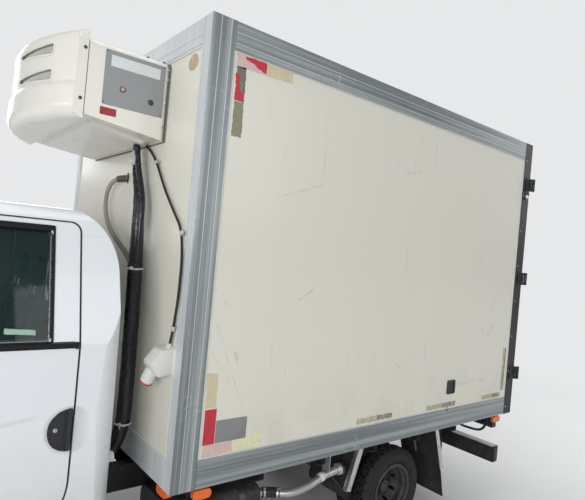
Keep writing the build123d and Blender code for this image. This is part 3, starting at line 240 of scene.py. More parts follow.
def screw(place, way, radius=0.006, height=0.004):
    """A domed screw head on a thin washer."""
    rows = [(0, height), (radius * 0.6, height * 0.85), (radius * 0.92, height * 0.4), (radius, 0.0),
            (radius * 1.3, 0.0), (radius * 1.3, -0.001), (0, -0.001)]
    return turned(rows, place, way, 16)


def hex_bolt(place, way, radius=0.009, height=0.007):
    """A hexagon head on a washer."""
    place, way = Vector(place), Vector(way).normalized()
    part = rod(place, place + way * 0.0015, radius * 1.35, 20)
    head = rod(place + way * 0.0015, place + way * (0.0015 + height), radius, 6, edge=radius * 0.12)
    return together(part, head)


def together(*parts):
    whole = parts[0]
    for part in parts[1:]:
        mesh = bpy.data.meshes.new("part")
        part.to_mesh(mesh)
        part.free()
        whole.from_mesh(mesh)
        bpy.data.meshes.remove(mesh)
    return whole


class Form:
    """A mesh under way. Parts are added one by one, each with the number of its material."""

    def __init__(self, *parts):
        self.bm = bmesh.new()
        for part in parts:
            self.add(part)

    def add(self, part, tint=0):
        for face in part.faces:
            face.material_index = tint
        together(self.bm, part)
        return self

    def piece(self, name, slot, *materials, body=frame_body, crease=38):
        """The finished object. Without materials it takes its slot's usual one."""
        mesh = bpy.data.meshes.new(name)
        self.bm.to_mesh(mesh)
        self.bm.free()
        for material in materials or (usual[slot],):
            mesh.materials.append(material)
        mesh.shade_smooth()
        mesh.set_sharp_from_angle(angle=math.radians(crease))
        made = bpy.data.objects.new(name, mesh)
        bpy.context.scene.collection.objects.link(made)
        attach(made, body)
        return made


def applied(made):
    """The piece with its modifiers taken into its mesh."""
    graph = bpy.context.evaluated_depsgraph_get()
    mesh = bpy.data.meshes.new_from_object(made.evaluated_get(graph), depsgraph=graph)
    made.modifiers.clear()
    old = made.data
    made.data = mesh
    bpy.data.meshes.remove(old)
    return made


# Shader maths
class Signal:
    """An output socket; Python's operators on it add Math nodes."""

    def __init__(self, tree, socket):
        self.tree = tree
        self.socket = socket

    def math(self, operation, first, second=0.0, clamp=False):
        return self.tree.node("ShaderNodeMath", {"operation": operation, "use_clamp": clamp},
                              {0: first, 1: second})

    def __add__(self, other):
        return self.math("ADD", self, other)

    __radd__ = __add__

    def __sub__(self, other):
        return self.math("SUBTRACT", self, other)

    def __rsub__(self, other):
        return self.math("SUBTRACT", other, self)

    def __mul__(self, other):
        return self.math("MULTIPLY", self, other)

    def __gt__(self, other):
        return self.math("GREATER_THAN", self, other)

    def __lt__(self, other):
        return self.math("LESS_THAN", self, other)

    def __abs__(self):
        return self.math("ABSOLUTE", self)

    def sine(self):
        return self.tree.node("ShaderNodeMath", {"operation": "SINE"}, {0: self})

    def clamped(self):
        return self.math("ADD", self, 0.0, clamp=True)


class Nodes:
    """The node tree of a material or a world, cleared and under way."""

    def __init__(self, owner):
        owner.use_nodes = True
        self.tree = owner.node_tree
        self.tree.nodes.clear()

    def node(self, kind, settings=None, sockets=None, out=0):
        made = self.tree.nodes.new(kind)
        for key, value in (settings or {}).items():
            setattr(made, key, value)
        for key, value in (sockets or {}).items():
            socket = made.inputs[key]
            if isinstance(value, Signal):
                self.tree.links.new(value.socket, socket)
            elif isinstance(value, tuple) and len(value) == 3 and socket.type == "RGBA":
                socket.default_value = (*value, 1.0)
            else:
                socket.default_value = value
        return Signal(self, made.outputs[out]) if made.outputs else made

    def ray_is(self, *kinds):
        """1 where the ray is one of these kinds."""
        seen = self.node("ShaderNodeLightPath", out=kinds[0])
        for kind in kinds[1:]:
            seen = seen.math("MAXIMUM", seen, self.node("ShaderNodeLightPath", out=kind))
        return seen


class Finish(Nodes):
    """A material under way."""

    def __init__(self, name):
        self.material = bpy.data.materials.new(name)
        super().__init__(self.material)
        self.object_place = self.node("ShaderNodeTexCoord", out="Object")
        self.x, self.y, self.z = (self.part_of(self.object_place, axis) for axis in "XYZ")

    def part_of(self, vector, axis):
        return self.node("ShaderNodeSeparateXYZ", None, {0: vector}, out=axis)

    def stretched(self, scale, turn=(0.0, 0.0, 0.0)):
        return self.node("ShaderNodeMapping", None,
                         {"Vector": self.object_place, "Scale": scale, "Rotation": turn})

    def noise(self, scale, detail=3.0, roughness=0.5, distortion=0.0, stretch=None, turn=(0.0, 0.0, 0.0)):
        place = self.stretched(stretch, turn) if stretch else self.object_place
        return self.node("ShaderNodeTexNoise", None, {"Vector": place, "Scale": scale, "Detail": detail,
                                                      "Roughness": roughness, "Distortion": distortion})

    def cells(self, scale):
        return self.node("ShaderNodeTexVoronoi", None, {"Vector": self.object_place, "Scale": scale})

    def between(self, value, low, high):
        """0 below low, 1 above high, smooth between them."""
        return self.node("ShaderNodeMapRange", {"interpolation_type": "SMOOTHSTEP"},
                         {"Value": value, "From Min": low, "From Max": high})

    def patches(self, low, high, *noise, **more):
        """Soft patches where a noise is above low."""
        return self.between(self.noise(*noise, **more), low, high)

    def specks(self, low, high, scale):
        """Specks where a cell's middle is nearer than low."""
        return self.between(self.cells(scale), low, high)

    def mix(self, mask, first, second):
        return self.node("ShaderNodeMix", {"data_type": "RGBA"}, {0: mask, 6: first, 7: second}, out=2)

    def bump(self, height, distance, strength=1.0, normal=None):
        sockets = {"Height": height, "Distance": distance, "Strength": strength}
        if normal is not None:
            sockets["Normal"] = normal
        return self.node("ShaderNodeBump", None, sockets)

    def rounded(self, radius):
        """Normal of edges rounded by this radius."""
        return self.node("ShaderNodeBevel", {"samples": 4}, {"Radius": radius})

    def scratch(self, start, end, width):
        """1 along the line from start to end, given in u and height, and 0 past the width."""
        run, climb = end[0] - start[0], end[1] - start[1]
        across, above = self.x - (box_front + start[0]), self.z - start[1]
        along = ((across * run + above * climb) * (1.0 / (run * run + climb * climb))).clamped()
        across, above = across - along * run, above - along * climb
        return self.between(across * across + above * above, width * width, 0.0)

    def done(self, colour, roughness=0.5, metallic=0.0, normal=None, alpha=None, over=None, **constants):
        """The material; over is a mask and the shader that takes over where the mask is 1."""
        sockets = {"Base Color": colour, "Roughness": roughness, "Metallic": metallic}
        if normal is not None:
            sockets["Normal"] = normal
        if alpha is not None:
            sockets["Alpha"] = alpha
        sockets.update({key.replace("_", " "): value for key, value in constants.items()})
        shader = self.node("ShaderNodeBsdfPrincipled", None, sockets)
        if over:
            shader = self.node("ShaderNodeMixShader", None, {0: over[0], 1: shader, 2: over[1]})
        self.node("ShaderNodeOutputMaterial", None, {0: shader})
        return self.material


# Finishes
background_tone = (0.80, 0.81, 0.82)


def cab_paint():
    """White enamel outside; the faces that look into the cab are grey trim, darkened further as painted
    shade.
    """
    f = Finish("white_enamel")
    cabin_middle = at(0.95, 0.0, 1.30)
    outwards = f.node("ShaderNodeVectorMath", {"operation": "SUBTRACT"}, {0: f.object_place, 1: cabin_middle})
    normal = f.node("ShaderNodeTexCoord", out="Normal")
    facing = f.node("ShaderNodeVectorMath", {"operation": "DOT_PRODUCT"}, {0: outwards, 1: normal},
                    out="Value")
    inside = facing < 0.0
    dust = f.noise(5.0, 6.0, 0.62) * f.between(f.z, 1.15, 0.35) * 0.8
    chips = f.specks(0.035, 0.02, 19.0) * f.patches(0.55, 0.62, 3.0, 1.0)
    tone = f.mix(f.noise(0.9, 2.0), (0.765, 0.795, 0.825), (0.80, 0.825, 0.85))
    tone = f.mix(dust.clamped(), tone, (0.36, 0.32, 0.26))
    tone = f.mix(chips * 0.5, tone, (0.30, 0.29, 0.27))
    # the faces that look into the cab: grey trim, darkened further as painted shade
    tone = f.mix(inside, tone, (0.25, 0.255, 0.26))
    # a faint crease in the left door, level with the handle: a bump, with painted shade along it
    along = f.x - box_front
    fold = f.between(abs(f.z - 1.112 + (along - 0.63) * 0.13), 0.016, 0.0) * (f.y > 0.5)
    fold = fold * f.between(abs(along - 0.66), 0.13, 0.05)
    tone = f.mix(fold * 0.35, tone, (0.50, 0.51, 0.51))
    # painted shade in the dish behind the handle, on its side towards the shut line
    across, above = along - 0.433, f.z - 1.055
    dish = f.between(across * across + above * above, 0.0108, 0.0080)
    tone = f.mix(dish * f.between(along, 0.335, 0.415) * (1.0 - inside) * 0.42, tone, (0.33, 0.35, 0.37))
    peel = f.bump(f.noise(240.0, 1.0) - fold * 6.0, 0.0004, 0.12, f.rounded(0.004))
    return f.done(tone, 0.24 + dust * 0.5 + inside * 0.4, 0.0, peel, Coat_Weight=0.5, Coat_Roughness=0.06)


# Scratches on the left panel: start, end, half width and how dark
panel_scratches = (
    ((-0.453, 2.136), (-0.749, 2.241), 0.006, 0.34), ((-0.627, 1.598), (-0.755, 1.672), 0.007, 0.40),
    ((-0.166, 1.497), (-0.327, 1.136), 0.004, 0.34), ((-0.154, 1.360), (-0.371, 1.065), 0.003, 0.34),
    ((-0.736, 2.637), (-0.755, 2.295), 0.010, 0.20), ((-2.644, 1.465), (-2.576, 1.367), 0.016, 0.50),
    ((-2.425, 1.496), (-2.512, 1.374), 0.008, 0.30), ((-2.228, 1.021), (-2.551, 1.029), 0.007, 0.36),
    ((-1.451, 2.424), (-1.587, 2.458), 0.009, 0.30), ((-1.729, 2.669), (-1.735, 2.524), 0.012, 0.22),
    ((-0.192, 1.635), (-0.214, 1.577), 0.014, 0.24), ((-1.486, 1.220), (-1.552, 1.189), 0.009, 0.36),
    ((-2.655, 1.682), (-2.570, 1.550), 0.010, 0.26), ((-0.283, 1.353), (-0.306, 1.304), 0.013, 0.34),
)


def panel_gelcoat():
    """Cream gelcoat with faint upright bands, hairline scuffs and grime along the bottom."""
    f = Finish("panel_gelcoat")
    bands = f.noise(9.0, 2.0, 0.5, stretch=(1.0, 1.0, 0.03))
    scuff = 0.0
    # straight hairline scuffs that lean different ways: how far, how many and where
    for tilt, scale, seed in ((-38.0, 34.0, 1.3), (24.0, 42.0, 1.9), (8.0, 60.0, 2.7), (-62.0, 38.0, 1.6)):
        hair = f.noise(scale, 1.0, 0.4, stretch=(1.0, 1.0, 0.055), turn=(0.0, math.radians(tilt), 0.0))
        place = f.noise(seed, 3.0, 0.6, stretch=(1.0, 0.3, 1.0), turn=(0.3, math.radians(tilt), 0.2))
        scuff = scuff + f.between(hair, 0.735, 0.80) * f.between(place, 0.47, 0.62) * 0.20
    marks = 0.0
    for start, end, width, strength in panel_scratches:
        marks = marks + f.scratch(start, end, width) * strength
    scuff = scuff + marks * f.patches(0.36, 0.62, 30.0, 3.0, 0.6) * (f.y > 0.5)
    dabs = f.specks(0.055, 0.02, 3.1) * f.patches(0.50, 0.62, 14.0, 3.0) * 0.28
    grime = f.between(f.z, 1.25, 0.85) * f.patches(0.42, 0.75, 4.5, 5.0, 0.65) * 0.28
    tone = f.mix(bands, (0.700, 0.675, 0.580), (0.740, 0.715, 0.620))
    tone = f.mix(f.noise(0.7, 3.0), tone, (0.76, 0.74, 0.655))
    tone = f.mix(grime.clamped(), tone, (0.48, 0.43, 0.32))
    tone = f.mix((scuff + dabs).clamped(), tone, (0.33, 0.31, 0.27))
    height = f.noise(2.0, 2.0) + f.noise(60.0, 1.0) * 0.03
    return f.done(tone, 0.34 + grime * 0.6 + scuff * 0.3, 0.0, f.bump(height, 0.003, 0.25), Coat_Weight=0.25,
                  Coat_Roughness=0.12)


def extruded_aluminium():
    """Drawn aluminium: fine lines run along each post or rail."""
    f = Finish("extruded_aluminium")
    upright = f.x > box_front - post_leg - 0.0002
    across = (f.x > box_front - front_leg) * (abs(f.y) < box_side - front_leg - 0.0002)
    along_z = f.noise(210.0, 2.0, 0.55, stretch=(1.0, 1.0, 0.006))
    along_x = f.noise(210.0, 2.0, 0.55, stretch=(0.006, 1.0, 1.0))
    along_y = f.noise(210.0, 2.0, 0.55, stretch=(1.0, 0.006, 1.0))
    lines = along_x + upright * (along_z - along_x)
    lines = lines + across * (along_y - lines)
    broad_z = f.noise(30.0, 2.0, 0.5, stretch=(1.0, 1.0, 0.02))
    broad_x = f.noise(30.0, 2.0, 0.5, stretch=(0.02, 1.0, 1.0))
    broad = broad_x + upright * (broad_z - broad_x)
    cloud = f.noise(2.6, 4.0, 0.6)
    nicks = f.between(abs(f.noise(7.0, 3.0, 0.5, 2.0) - 0.5), 0.004, 0.0005) * f.patches(0.55, 0.65, 3.0, 1.0)
    tone = f.mix(f.between(broad, 0.36, 0.66), (0.235, 0.26, 0.27), (0.44, 0.47, 0.47))
    on_side_face = abs(f.y) > box_side - 0.004
    on_front_face = f.x > box_front - 0.003
    tone = f.mix(f.between(lines, 0.35, 0.75) * (0.5 - on_side_face * 0.28), tone, (0.62, 0.645, 0.64))
    tone = f.mix(f.between(cloud, 0.55, 0.8) * 0.4, tone, (0.26, 0.28, 0.28))
    # painted shade: the faces that look sideways a little darker
    tone = f.mix(on_side_face * 0.12, tone, (0.12, 0.145, 0.165))
    # painted light: the faces that look forward much lighter and less metallic
    lit_front_face = on_front_face * (1.0 - on_side_face)
    tone = f.mix(lit_front_face * 0.7, tone, (0.74, 0.77, 0.79))
    below = box_high - f.z
    along_post = abs(box_front - f.x)
    # painted highlights along the edges of the profile's grooves
    for gap, level, part in ((along_post, 0.046, upright), (along_post, 0.099, upright),
                             (below, 0.052, 1.0 - upright), (below, 0.104, 1.0 - upright)):
        line = f.between(abs(gap - level), 0.0022, 0.0010) * part * on_side_face
        tone = f.mix(line * 0.75, tone, (0.80, 0.82, 0.81))
    tone = f.mix(nicks * 0.6, tone, (0.90, 0.90, 0.90))
    return f.done(tone, 0.33 + cloud * 0.22, 0.82 - lit_front_face * 0.62,
                  f.bump(lines, 0.0006, 0.35, f.rounded(0.0015)))


def coated_steel(name, tone, roughness=0.5, dust_tone=(0.20, 0.18, 0.15), dust=0.5, metallic=0.0, edge=0.003,
                 grain=120.0, black_beyond=0.0, **constants):
    """Painted or cast steel that gathers dust on its upper faces and near the ground.

    Beyond a half width it can be black."""
    f = Finish(name)
    normal = f.node("ShaderNodeTexCoord", out="Normal")
    upward = f.between(f.part_of(normal, "Z"), 0.2, 0.9)
    cloud = f.noise(9.0, 5.0, 0.65)
    low = f.between(f.z, 1.2, 0.2) * 0.5
    cover = ((upward * 0.6 + low) * f.between(cloud, 0.35, 0.75) * dust).clamped()
    lighter = tuple(min(1.0, channel * 1.6 + 0.01) for channel in tone)
    colour = f.mix(f.noise(35.0, 3.0), tone, lighter)
    colour = f.mix(cover, colour, dust_tone)
    if black_beyond:
        outside = abs(f.y) > black_beyond
        colour = f.mix(outside, colour, (0.012, 0.013, 0.014))
        metallic = (1.0 - outside) * metallic
    return f.done(colour, roughness + cover * 0.35, metallic,
                  f.bump(f.noise(grain, 2.0), 0.0008, 0.2, f.rounded(edge)), **constants)


def shell_plastic():
    """Glossy moulded shell of the refrigeration unit."""
    f = Finish("moulded_shell")
    cloud = f.noise(4.0, 4.0, 0.6)
    grime = f.between(f.z, 2.55, 2.30) * f.patches(0.45, 0.8, 11.0, 4.0, 0.6) * 0.35
    specks = f.specks(0.10, 0.06, 60.0) * f.patches(0.58, 0.64, 7.0, 1.0) * 0.4
    tone = f.mix(cloud, (0.765, 0.740, 0.670), (0.815, 0.795, 0.730))
    tone = f.mix((grime + specks).clamped(), tone, (0.45, 0.38, 0.27))
    peel = f.bump(f.noise(150.0, 2.0), 0.0006, 0.18, f.rounded(0.003))
    return f.done(tone, 0.28 + grime * 0.6, 0.0, peel, Coat_Weight=0.35, Coat_Roughness=0.10)


def rubber(name, tone=(0.018, 0.018, 0.019), roughness=0.62, grain=90.0, dust=0.35):
    f = Finish(name)
    cover = f.patches(0.45, 0.8, 7.0, 5.0, 0.6) * dust * f.between(f.z, 2.6, 0.1)
    lighter = tuple(channel * 1.5 + 0.006 for channel in tone)
    colour = f.mix(f.noise(grain, 2.0), tone, lighter)
    colour = f.mix(cover, colour, (0.13, 0.12, 0.10))
    return f.done(colour, roughness + cover * 0.25, 0.0, f.bump(f.noise(grain * 3, 2.0), 0.0006, 0.25),
                  Specular_IOR_Level=0.22)


def tape_wrap():
    """Glossy black tape in overlapping turns round the hoses."""
    f = Finish("tape_wrap")
    turns = f.z * 26.0 + f.y * 5.0 + f.noise(4.0, 2.0) * 0.6
    spiral = turns.math("FRACT", turns)
    lap = f.between(spiral, 0.0, 0.08) + f.between(spiral, 1.0, 0.96) * 0.3
    wrinkle = f.noise(38.0, 3.0, 0.6, 0.6, stretch=(1.0, 1.0, 0.35))
    tone = f.mix(wrinkle, (0.006, 0.006, 0.009), (0.018, 0.018, 0.024))
    return f.done(tone, 0.14 + wrinkle * 0.22, 0.0, f.bump(lap * 0.5 + wrinkle * 0.7, 0.004, 0.5))


def ribbed_hose():
    f = Finish("ribbed_hose")
    rings = ((f.z + f.y * 0.55) * 900.0).sine()
    # painted shade in the grooves between the ribs and painted highlight on their ridges
    tone = f.mix(f.between(rings, -0.6, 0.6), (0.20, 0.185, 0.15), (0.42, 0.40, 0.335))
    tone = f.mix(f.noise(12.0, 3.0) * 0.5, tone, (0.30, 0.27, 0.21))
    return f.done(tone, 0.5, 0.0, f.bump(rings, 0.001, 0.6))


def clear_plastic(name, tone, alpha=1.0, roughness=0.12, flutes=0.0, scale=160.0, **constants):
    """A lens or clear cover: fine prisms or flutes under a glossy face."""
    f = Finish(name)
    flute = ((f.y + f.z + f.x * 0.8) * scale).sine()
    cloud = f.noise(14.0, 3.0)
    darker = tuple(channel * 0.62 for channel in tone)
    colour = f.mix(f.between(flute, -0.9, 0.9) * flutes + cloud * 0.2, tone, darker)
    sockets = {"alpha": alpha} if alpha < 1.0 else {}
    return f.done(colour, roughness + cloud * 0.05, 0.0, f.bump(flute, 0.001, flutes * 0.5), Coat_Weight=0.6,
                  Coat_Roughness=0.05, **sockets, **constants)


def window_glass():
    f = Finish("window_glass")
    film = f.patches(0.45, 0.85, 5.0, 5.0, 0.6)
    colour = f.mix(film * 0.12, (0.008, 0.034, 0.031), (0.16, 0.19, 0.18))
    return f.done(colour, 0.03 + film * 0.06, 0.0, f.bump(f.noise(1.2, 1.0), 0.002, 0.1), 0.42 + film * 0.06,
                  Specular_IOR_Level=0.6)


def plain(name, tone, roughness=0.5, metallic=0.0, grain=80.0, depth=0.15, variation=0.18, **constants):
    """A moulded, turned or plated finish with a fine grain and uneven tone."""
    f = Finish(name)
    shade = tuple(channel * (1 - variation) for channel in tone)
    colour = f.mix(f.noise(grain * 0.25, 4.0, 0.6), tone, shade)
    colour = f.mix(f.patches(0.55, 0.9, 3.5, 4.0, 0.6) * 0.3, colour, tuple(c * 0.6 for c in tone))
    mottle = f.noise(grain, 3.0)
    return f.done(colour, roughness + (mottle - 0.5) * 0.12, metallic,
                  f.bump(mottle, 0.0006, depth, f.rounded(0.0012)), **constants)


def worn_tape(name, tone, lost, worn=0.35, line_tone=None):
    """Marking tape that has worn and torn away in patches; what is lost shows the panel."""
    f = Finish(name)
    tear = f.noise(26.0, 5.0, 0.7, 0.4)
    kept = f.between(tear, lost, lost + 0.02)
    fibre = f.noise(90.0, 3.0, 0.6, stretch=(1.0, 1.0, 0.4))
    colour = f.mix(fibre, tone, tuple(channel * 0.72 for channel in tone))
    colour = f.mix(f.between(tear, lost + 0.16, lost) * worn, colour, (0.66, 0.61, 0.50))
    if line_tone:
        hatch = ((f.x + f.z) * 900.0).sine()
        cross = ((f.x - f.z) * 900.0).sine()
        colour = f.mix(f.between(hatch.math("MAXIMUM", hatch, cross), 0.86, 0.97) * 0.4, colour, line_tone)
    return f.done(colour, 0.45, 0.0, f.bump(fibre, 0.0006, 0.4), kept)


def tyre_finish():
    f = Finish("tyre_rubber")
    dust = f.patches(0.42, 0.8, 16.0, 5.0, 0.65)
    colour = f.mix(dust * 0.5, (0.009, 0.009, 0.010), (0.055, 0.051, 0.044))
    return f.done(colour, 0.72 + dust * 0.2, 0.0, f.bump(f.noise(130.0, 3.0), 0.0008, 0.3))


def floor_finish():
    """Pale floor that keeps the shadow round the truck and turns into the background further off."""
    f = Finish("studio_floor")
    tone = f.mix(f.noise(2.0, 4.0), (0.70, 0.70, 0.70), (0.74, 0.74, 0.735))
    length = f.node("ShaderNodeVectorMath", {"operation": "LENGTH"}, {0: f.object_place}, out="Value")
    share = f.between(length, 3.4, 8.5) * f.ray_is("Is Camera Ray", "Is Glossy Ray", "Is Transmission Ray")
    far = f.node("ShaderNodeEmission", None, {0: background_tone, 1: 1.0})
    return f.done(tone, 0.6, 0.0, f.bump(f.noise(60.0, 2.0), 0.0004, 0.1), over=(share, far))


shell_tint = shell_plastic()
paint = {
    "white_paint": cab_paint(),
    "box_panel": panel_gelcoat(),
    "edge_aluminium": extruded_aluminium(),
    "black_steel": coated_steel("black_steel", (0.009, 0.011, 0.012), 0.45, dust=0.35,
                                Specular_IOR_Level=0.32),
    "dark_casting": coated_steel("dark_casting", (0.045, 0.043, 0.040), 0.6, dust=0.8, grain=60.0),
    "pipe_steel": coated_steel("pipe_steel", (0.40, 0.41, 0.41), 0.34, (0.22, 0.19, 0.15), 0.5, 0.85),
    "zinc_gear": coated_steel("zinc_plate", (0.50, 0.50, 0.49), 0.34, (0.30, 0.27, 0.22), 0.35, 0.85, 0.002,
                              black_beyond=0.935),
    "unit_shell": shell_tint,
    "black_rubber": rubber("black_rubber"),
    "grey_hose": ribbed_hose(),
    "socket_plastic": plain("socket_plastic", (0.76, 0.75, 0.71), 0.36, grain=50.0),
    "clear_glass": window_glass(),
    "lamp_lens": clear_plastic("lamp_lens", (0.62, 0.65, 0.67), 0.42, 0.06, 0.4, 90.0),
    "red_lens": clear_plastic("red_lens", (0.42, 0.010, 0.012), 1.0, 0.14, 0.6, 260.0),
    "amber_lens": clear_plastic("amber_lens", (0.95, 0.155, 0.002), 1.0, 0.20, 0.5, 300.0),
    "dark_trim": plain("dark_trim", (0.022, 0.023, 0.025), 0.55, grain=220.0, depth=0.4),
    "seat_fabric": plain("seat_backing", (0.030, 0.031, 0.034), 0.85, grain=300.0, depth=0.5),
    "tyre_rubber": tyre_finish(),
    "wheel_steel": coated_steel("wheel_steel", (0.018, 0.019, 0.020), 0.5, dust=0.6),
}
for row in frame["record"]["subparts"]:
    held = nodes[row["node"]].data.materials
    held.clear()
    held.append(paint[row["material_slot"]])
nodes["door_hinge_brackets"].data.materials[0] = paint["black_steel"]
nodes["tail_lamps"].data.materials[0] = paint["dark_trim"]
bright_metal = plain("bright_metal", (0.62, 0.63, 0.63), 0.28, 0.9, 140.0)
dark_metal = plain("dark_metal", (0.11, 0.11, 0.11), 0.42, 0.8, 120.0)
grey_plastic = plain("grey_plastic", (0.245, 0.255, 0.265), 0.38, 0.0, 90.0)
black_plastic = plain("black_plastic", (0.017, 0.018, 0.020), 0.42, 0.0, 260.0, 0.35)
white_plastic = plain("white_plastic", (0.74, 0.74, 0.71), 0.4, 0.0, 60.0)
sealant = plain("sealant", (0.70, 0.70, 0.66), 0.5, 0.0, 40.0)
# grey: in the door gaps it is painted shade, standing in for the gap's dim look; also the unit's gaskets
grey_seal_gap_shade = plain("grey_seal_gap_shade", (0.19, 0.195, 0.20), 0.8)
panel_seal = rubber("seal_rubber", (0.008, 0.008, 0.009), 0.55, 140.0, 0.08)
usual = {**paint, "dark_trim": black_plastic, "zinc_gear": bright_metal, "black_rubber": panel_seal,
         "socket_plastic": white_plastic}       # what a piece in a slot gets when it names no material


# Box: seals, marking tapes, plates and fittings
def torn(rows, pitch=0.012, wander=0.003):
    """An outline that has torn unevenly along its edges."""
    points = []
    for start, end in zip(rows, rows[1:] + rows[:1]):
        steps = max(1, round(math.dist(start, end) / pitch))
        for step in range(steps):
            share = step / steps
            reach = wander if step else 0.0
            points.append(tuple(a + (b - a) * share + random.uniform(-reach, reach)
                                for a, b in zip(start, end)))
    return points


def rectangle(low_u, low_z, high_u, high_z, radius=0.0):
    return [(low_u, low_z, radius), (high_u, low_z, radius), (high_u, high_z, radius),
            (low_u, high_z, radius)]


def on_hand(rows, side):
    """An outline drawn for the left side (1), or its mirror image for the right (-1)."""
    return [(side * row[0], *row[1:]) for row in rows][::side]


def ring(across, up, radius, tall=None, count=24):
    """Points round a circle, or round an oval with a height of its own."""
    turns = [step / count * math.tau for step in range(count)]
    return [(across + radius * math.cos(turn), up + (tall or radius) * math.sin(turn)) for turn in turns]


panel_level = box_side - skin
frame_front = rear_face + 0.110 - box_front         # the rear frame's front face, as u
seal_gap = 0.003                                    # from an extrusion's edge to its bead of sealant
bead = 0.0048                                       # radius of a bead
inner_low, inner_high = box_low + rail_leg + seal_gap, box_high - rail_leg - seal_gap


def box_seals():
    beads = Form()
    front, rear, inner = -post_leg - seal_gap, frame_front + 0.004, box_side - front_leg - seal_gap
    loops = [[at(u, side * panel_level, z) for u, z, _ in rectangle(front, inner_low, rear, inner_high)]
             for side in (1, -1)]
    loops.append([at(-skin, y, z) for y, z, _ in rectangle(-inner, inner_low, inner, inner_high)])
    for points in loops:
        beads.add(tube(points, bead, 8, closed=True, straight=True))
    beads.piece("sealant_beads", "box_panel", sealant)


tape = 0.0005                                       # thickness of marking tape


def stuck(name, rows, material, side=1, layer=0, ragged=True):
    """A thin strip stuck on a side panel."""
    rows = torn(rows) if ragged else rows
    level = panel_level + 0.0001 + 0.0004 * layer
    Form(slab(rows, tape, on_side(level, side))).piece(name, "box_panel", material)


# Tapes on the left panel: name, tape and outline; each red one lies over another
tape_rows = (
    ("top_faded_strip", "faded", ((-0.318, 2.718), (-0.145, 2.712), (-0.145, 2.777), (-0.318, 2.777))),
    ("top_red_strip", "red", ((-0.316, 2.722), (-0.262, 2.738), (-0.235, 2.752), (-0.196, 2.757),
                              (-0.192, 2.772), (-0.225, 2.775), (-0.316, 2.776))),
    ("top_tan_strip", "tan", ((-0.485, 2.722), (-0.320, 2.716), (-0.320, 2.777), (-0.483, 2.778))),
    ("upper_dull_strip", "dull", ((-0.203, 2.553), (-0.150, 2.553), (-0.148, 2.714), (-0.200, 2.718))),
    ("upper_red_strip", "red", ((-0.202, 2.556), (-0.150, 2.553), (-0.146, 2.682), (-0.166, 2.680),
                                (-0.170, 2.640), (-0.176, 2.606), (-0.196, 2.590))),
    ("upper_olive_strip", "olive", ((-0.204, 2.386), (-0.148, 2.384), (-0.149, 2.552), (-0.203, 2.553))),
    ("lower_tan_strip", "tan", ((-0.203, 1.093), (-0.144, 1.096), (-0.140, 1.262), (-0.200, 1.257))),
    ("bottom_faded_strip", "faded", ((-0.314, 0.867), (-0.149, 0.864), (-0.149, 0.921), (-0.310, 0.922))),
    ("bottom_pale_strip", "pale", ((-0.487, 0.868), (-0.315, 0.867), (-0.311, 0.922), (-0.398, 0.926),
                                   (-0.402, 0.938), (-0.484, 0.938))),
)
# What torn tapes left behind: name and lowest and highest u, lowest and highest z
residue_rows = (("front", -1.51, -1.19, 0.875, 0.908), ("middle", -2.21, -1.87, 0.872, 0.905),
                ("rear", -2.82, -2.56, 0.872, 0.905), ("upright", -2.868, -2.824, 0.92, 1.257))


def tape_marks():
    tapes = {name: worn_tape(f"{name}_tape", *settings) for name, *settings in (
        ("red", (0.60, 0.020, 0.046), 0.20, 0.25, (0.66, 0.10, 0.12)),
        ("faded", (0.72, 0.53, 0.50), 0.32, 0.5, (0.80, 0.66, 0.60)), ("tan", (0.72, 0.64, 0.42), 0.32),
        ("olive", (0.30, 0.28, 0.175), 0.22, 0.2), ("dull", (0.19, 0.175, 0.150), 0.30, 0.3),
        ("pale", (0.88, 0.85, 0.55), 0.37))}
    for name, kind, rows in tape_rows:
        stuck(name, list(rows), tapes[kind], layer=int(kind == "red"))
    stuck("lower_red_strip", rectangle(-0.208, 0.922, -0.146, 1.089), tapes["red"], ragged=False)
    border = Form(slab(rectangle(-0.211, 0.919, -0.143, 1.092), 0.0003, on_side(panel_level + 0.0001)))
    border.piece("lower_red_border", "box_panel", worn_tape("tape_border", (0.74, 0.62, 0.58), 0.2))
    straw = worn_tape("straw_residue", (0.50, 0.45, 0.27), 0.36, 0.6)
    brown = worn_tape("brown_residue", (0.30, 0.245, 0.215), 0.37, 0.55)
    for name, low_u, high_u, low_z, high_z in residue_rows:
        half_u = low_u + 0.45 * (high_u - low_u)
        for part, start, end, scraps in (("rear", low_u, half_u, brown), ("front", half_u, high_u, straw)):
            rows = [(start, low_z), (end, low_z), (end, high_z), (start, high_z)]
            stuck(f"residue_{name}_{part}", rows, scraps)
    for index, (low_u, kind) in enumerate(((-0.62, "red"), (-1.46, "tan"), (-2.30, "red"))):
        stuck(f"right_strip_{index}", rectangle(low_u, 0.872, low_u + 0.30, 0.922), tapes[kind], -1,
              ragged=False)


def side_fittings():
    plate = Form(slab(rectangle(-0.387, 0.924, -0.2115, 1.031, 0.002), 0.0012, on_side(panel_level + 0.0012),
                      0.0004))
    for u, z in product((-0.380, -0.219), (0.931, 1.024)):
        plate.add(screw(at(u, panel_level + 0.0024, z), (0, 1, 0), 0.003, 0.0016), 1)
    plate.piece("data_plate", "box_panel", plain("etched_plate", (0.27, 0.275, 0.275), 0.40, 0.3, 60.0),
                bright_metal)
    port = Form()
    for side in (1, -1):
        place = on_side(panel_level, side)
        port.add(slab(rectangle(-2.182, 0.962, -2.088, 1.060, 0.012), 0.007, place, 0.003, rim=0.012))
        port.add(slab(rectangle(-2.171, 0.973, -2.099, 1.049, 0.004), 0.002, place, 0.0008))
        for u in (-2.176, -2.094):
            port.add(screw(at(u, side * (panel_level + 0.007), 1.011), (0, side, 0), 0.0025, 0.0015), 1)
    port.piece("side_port", "dark_trim", black_plastic, dark_metal)
    marks = Form(slab(rectangle(-2.113, 0.835, -2.107, 0.872, 0.002), 0.002, on_side(box_side - 0.0015)))
    marks.piece("rail_clip", "dark_trim")


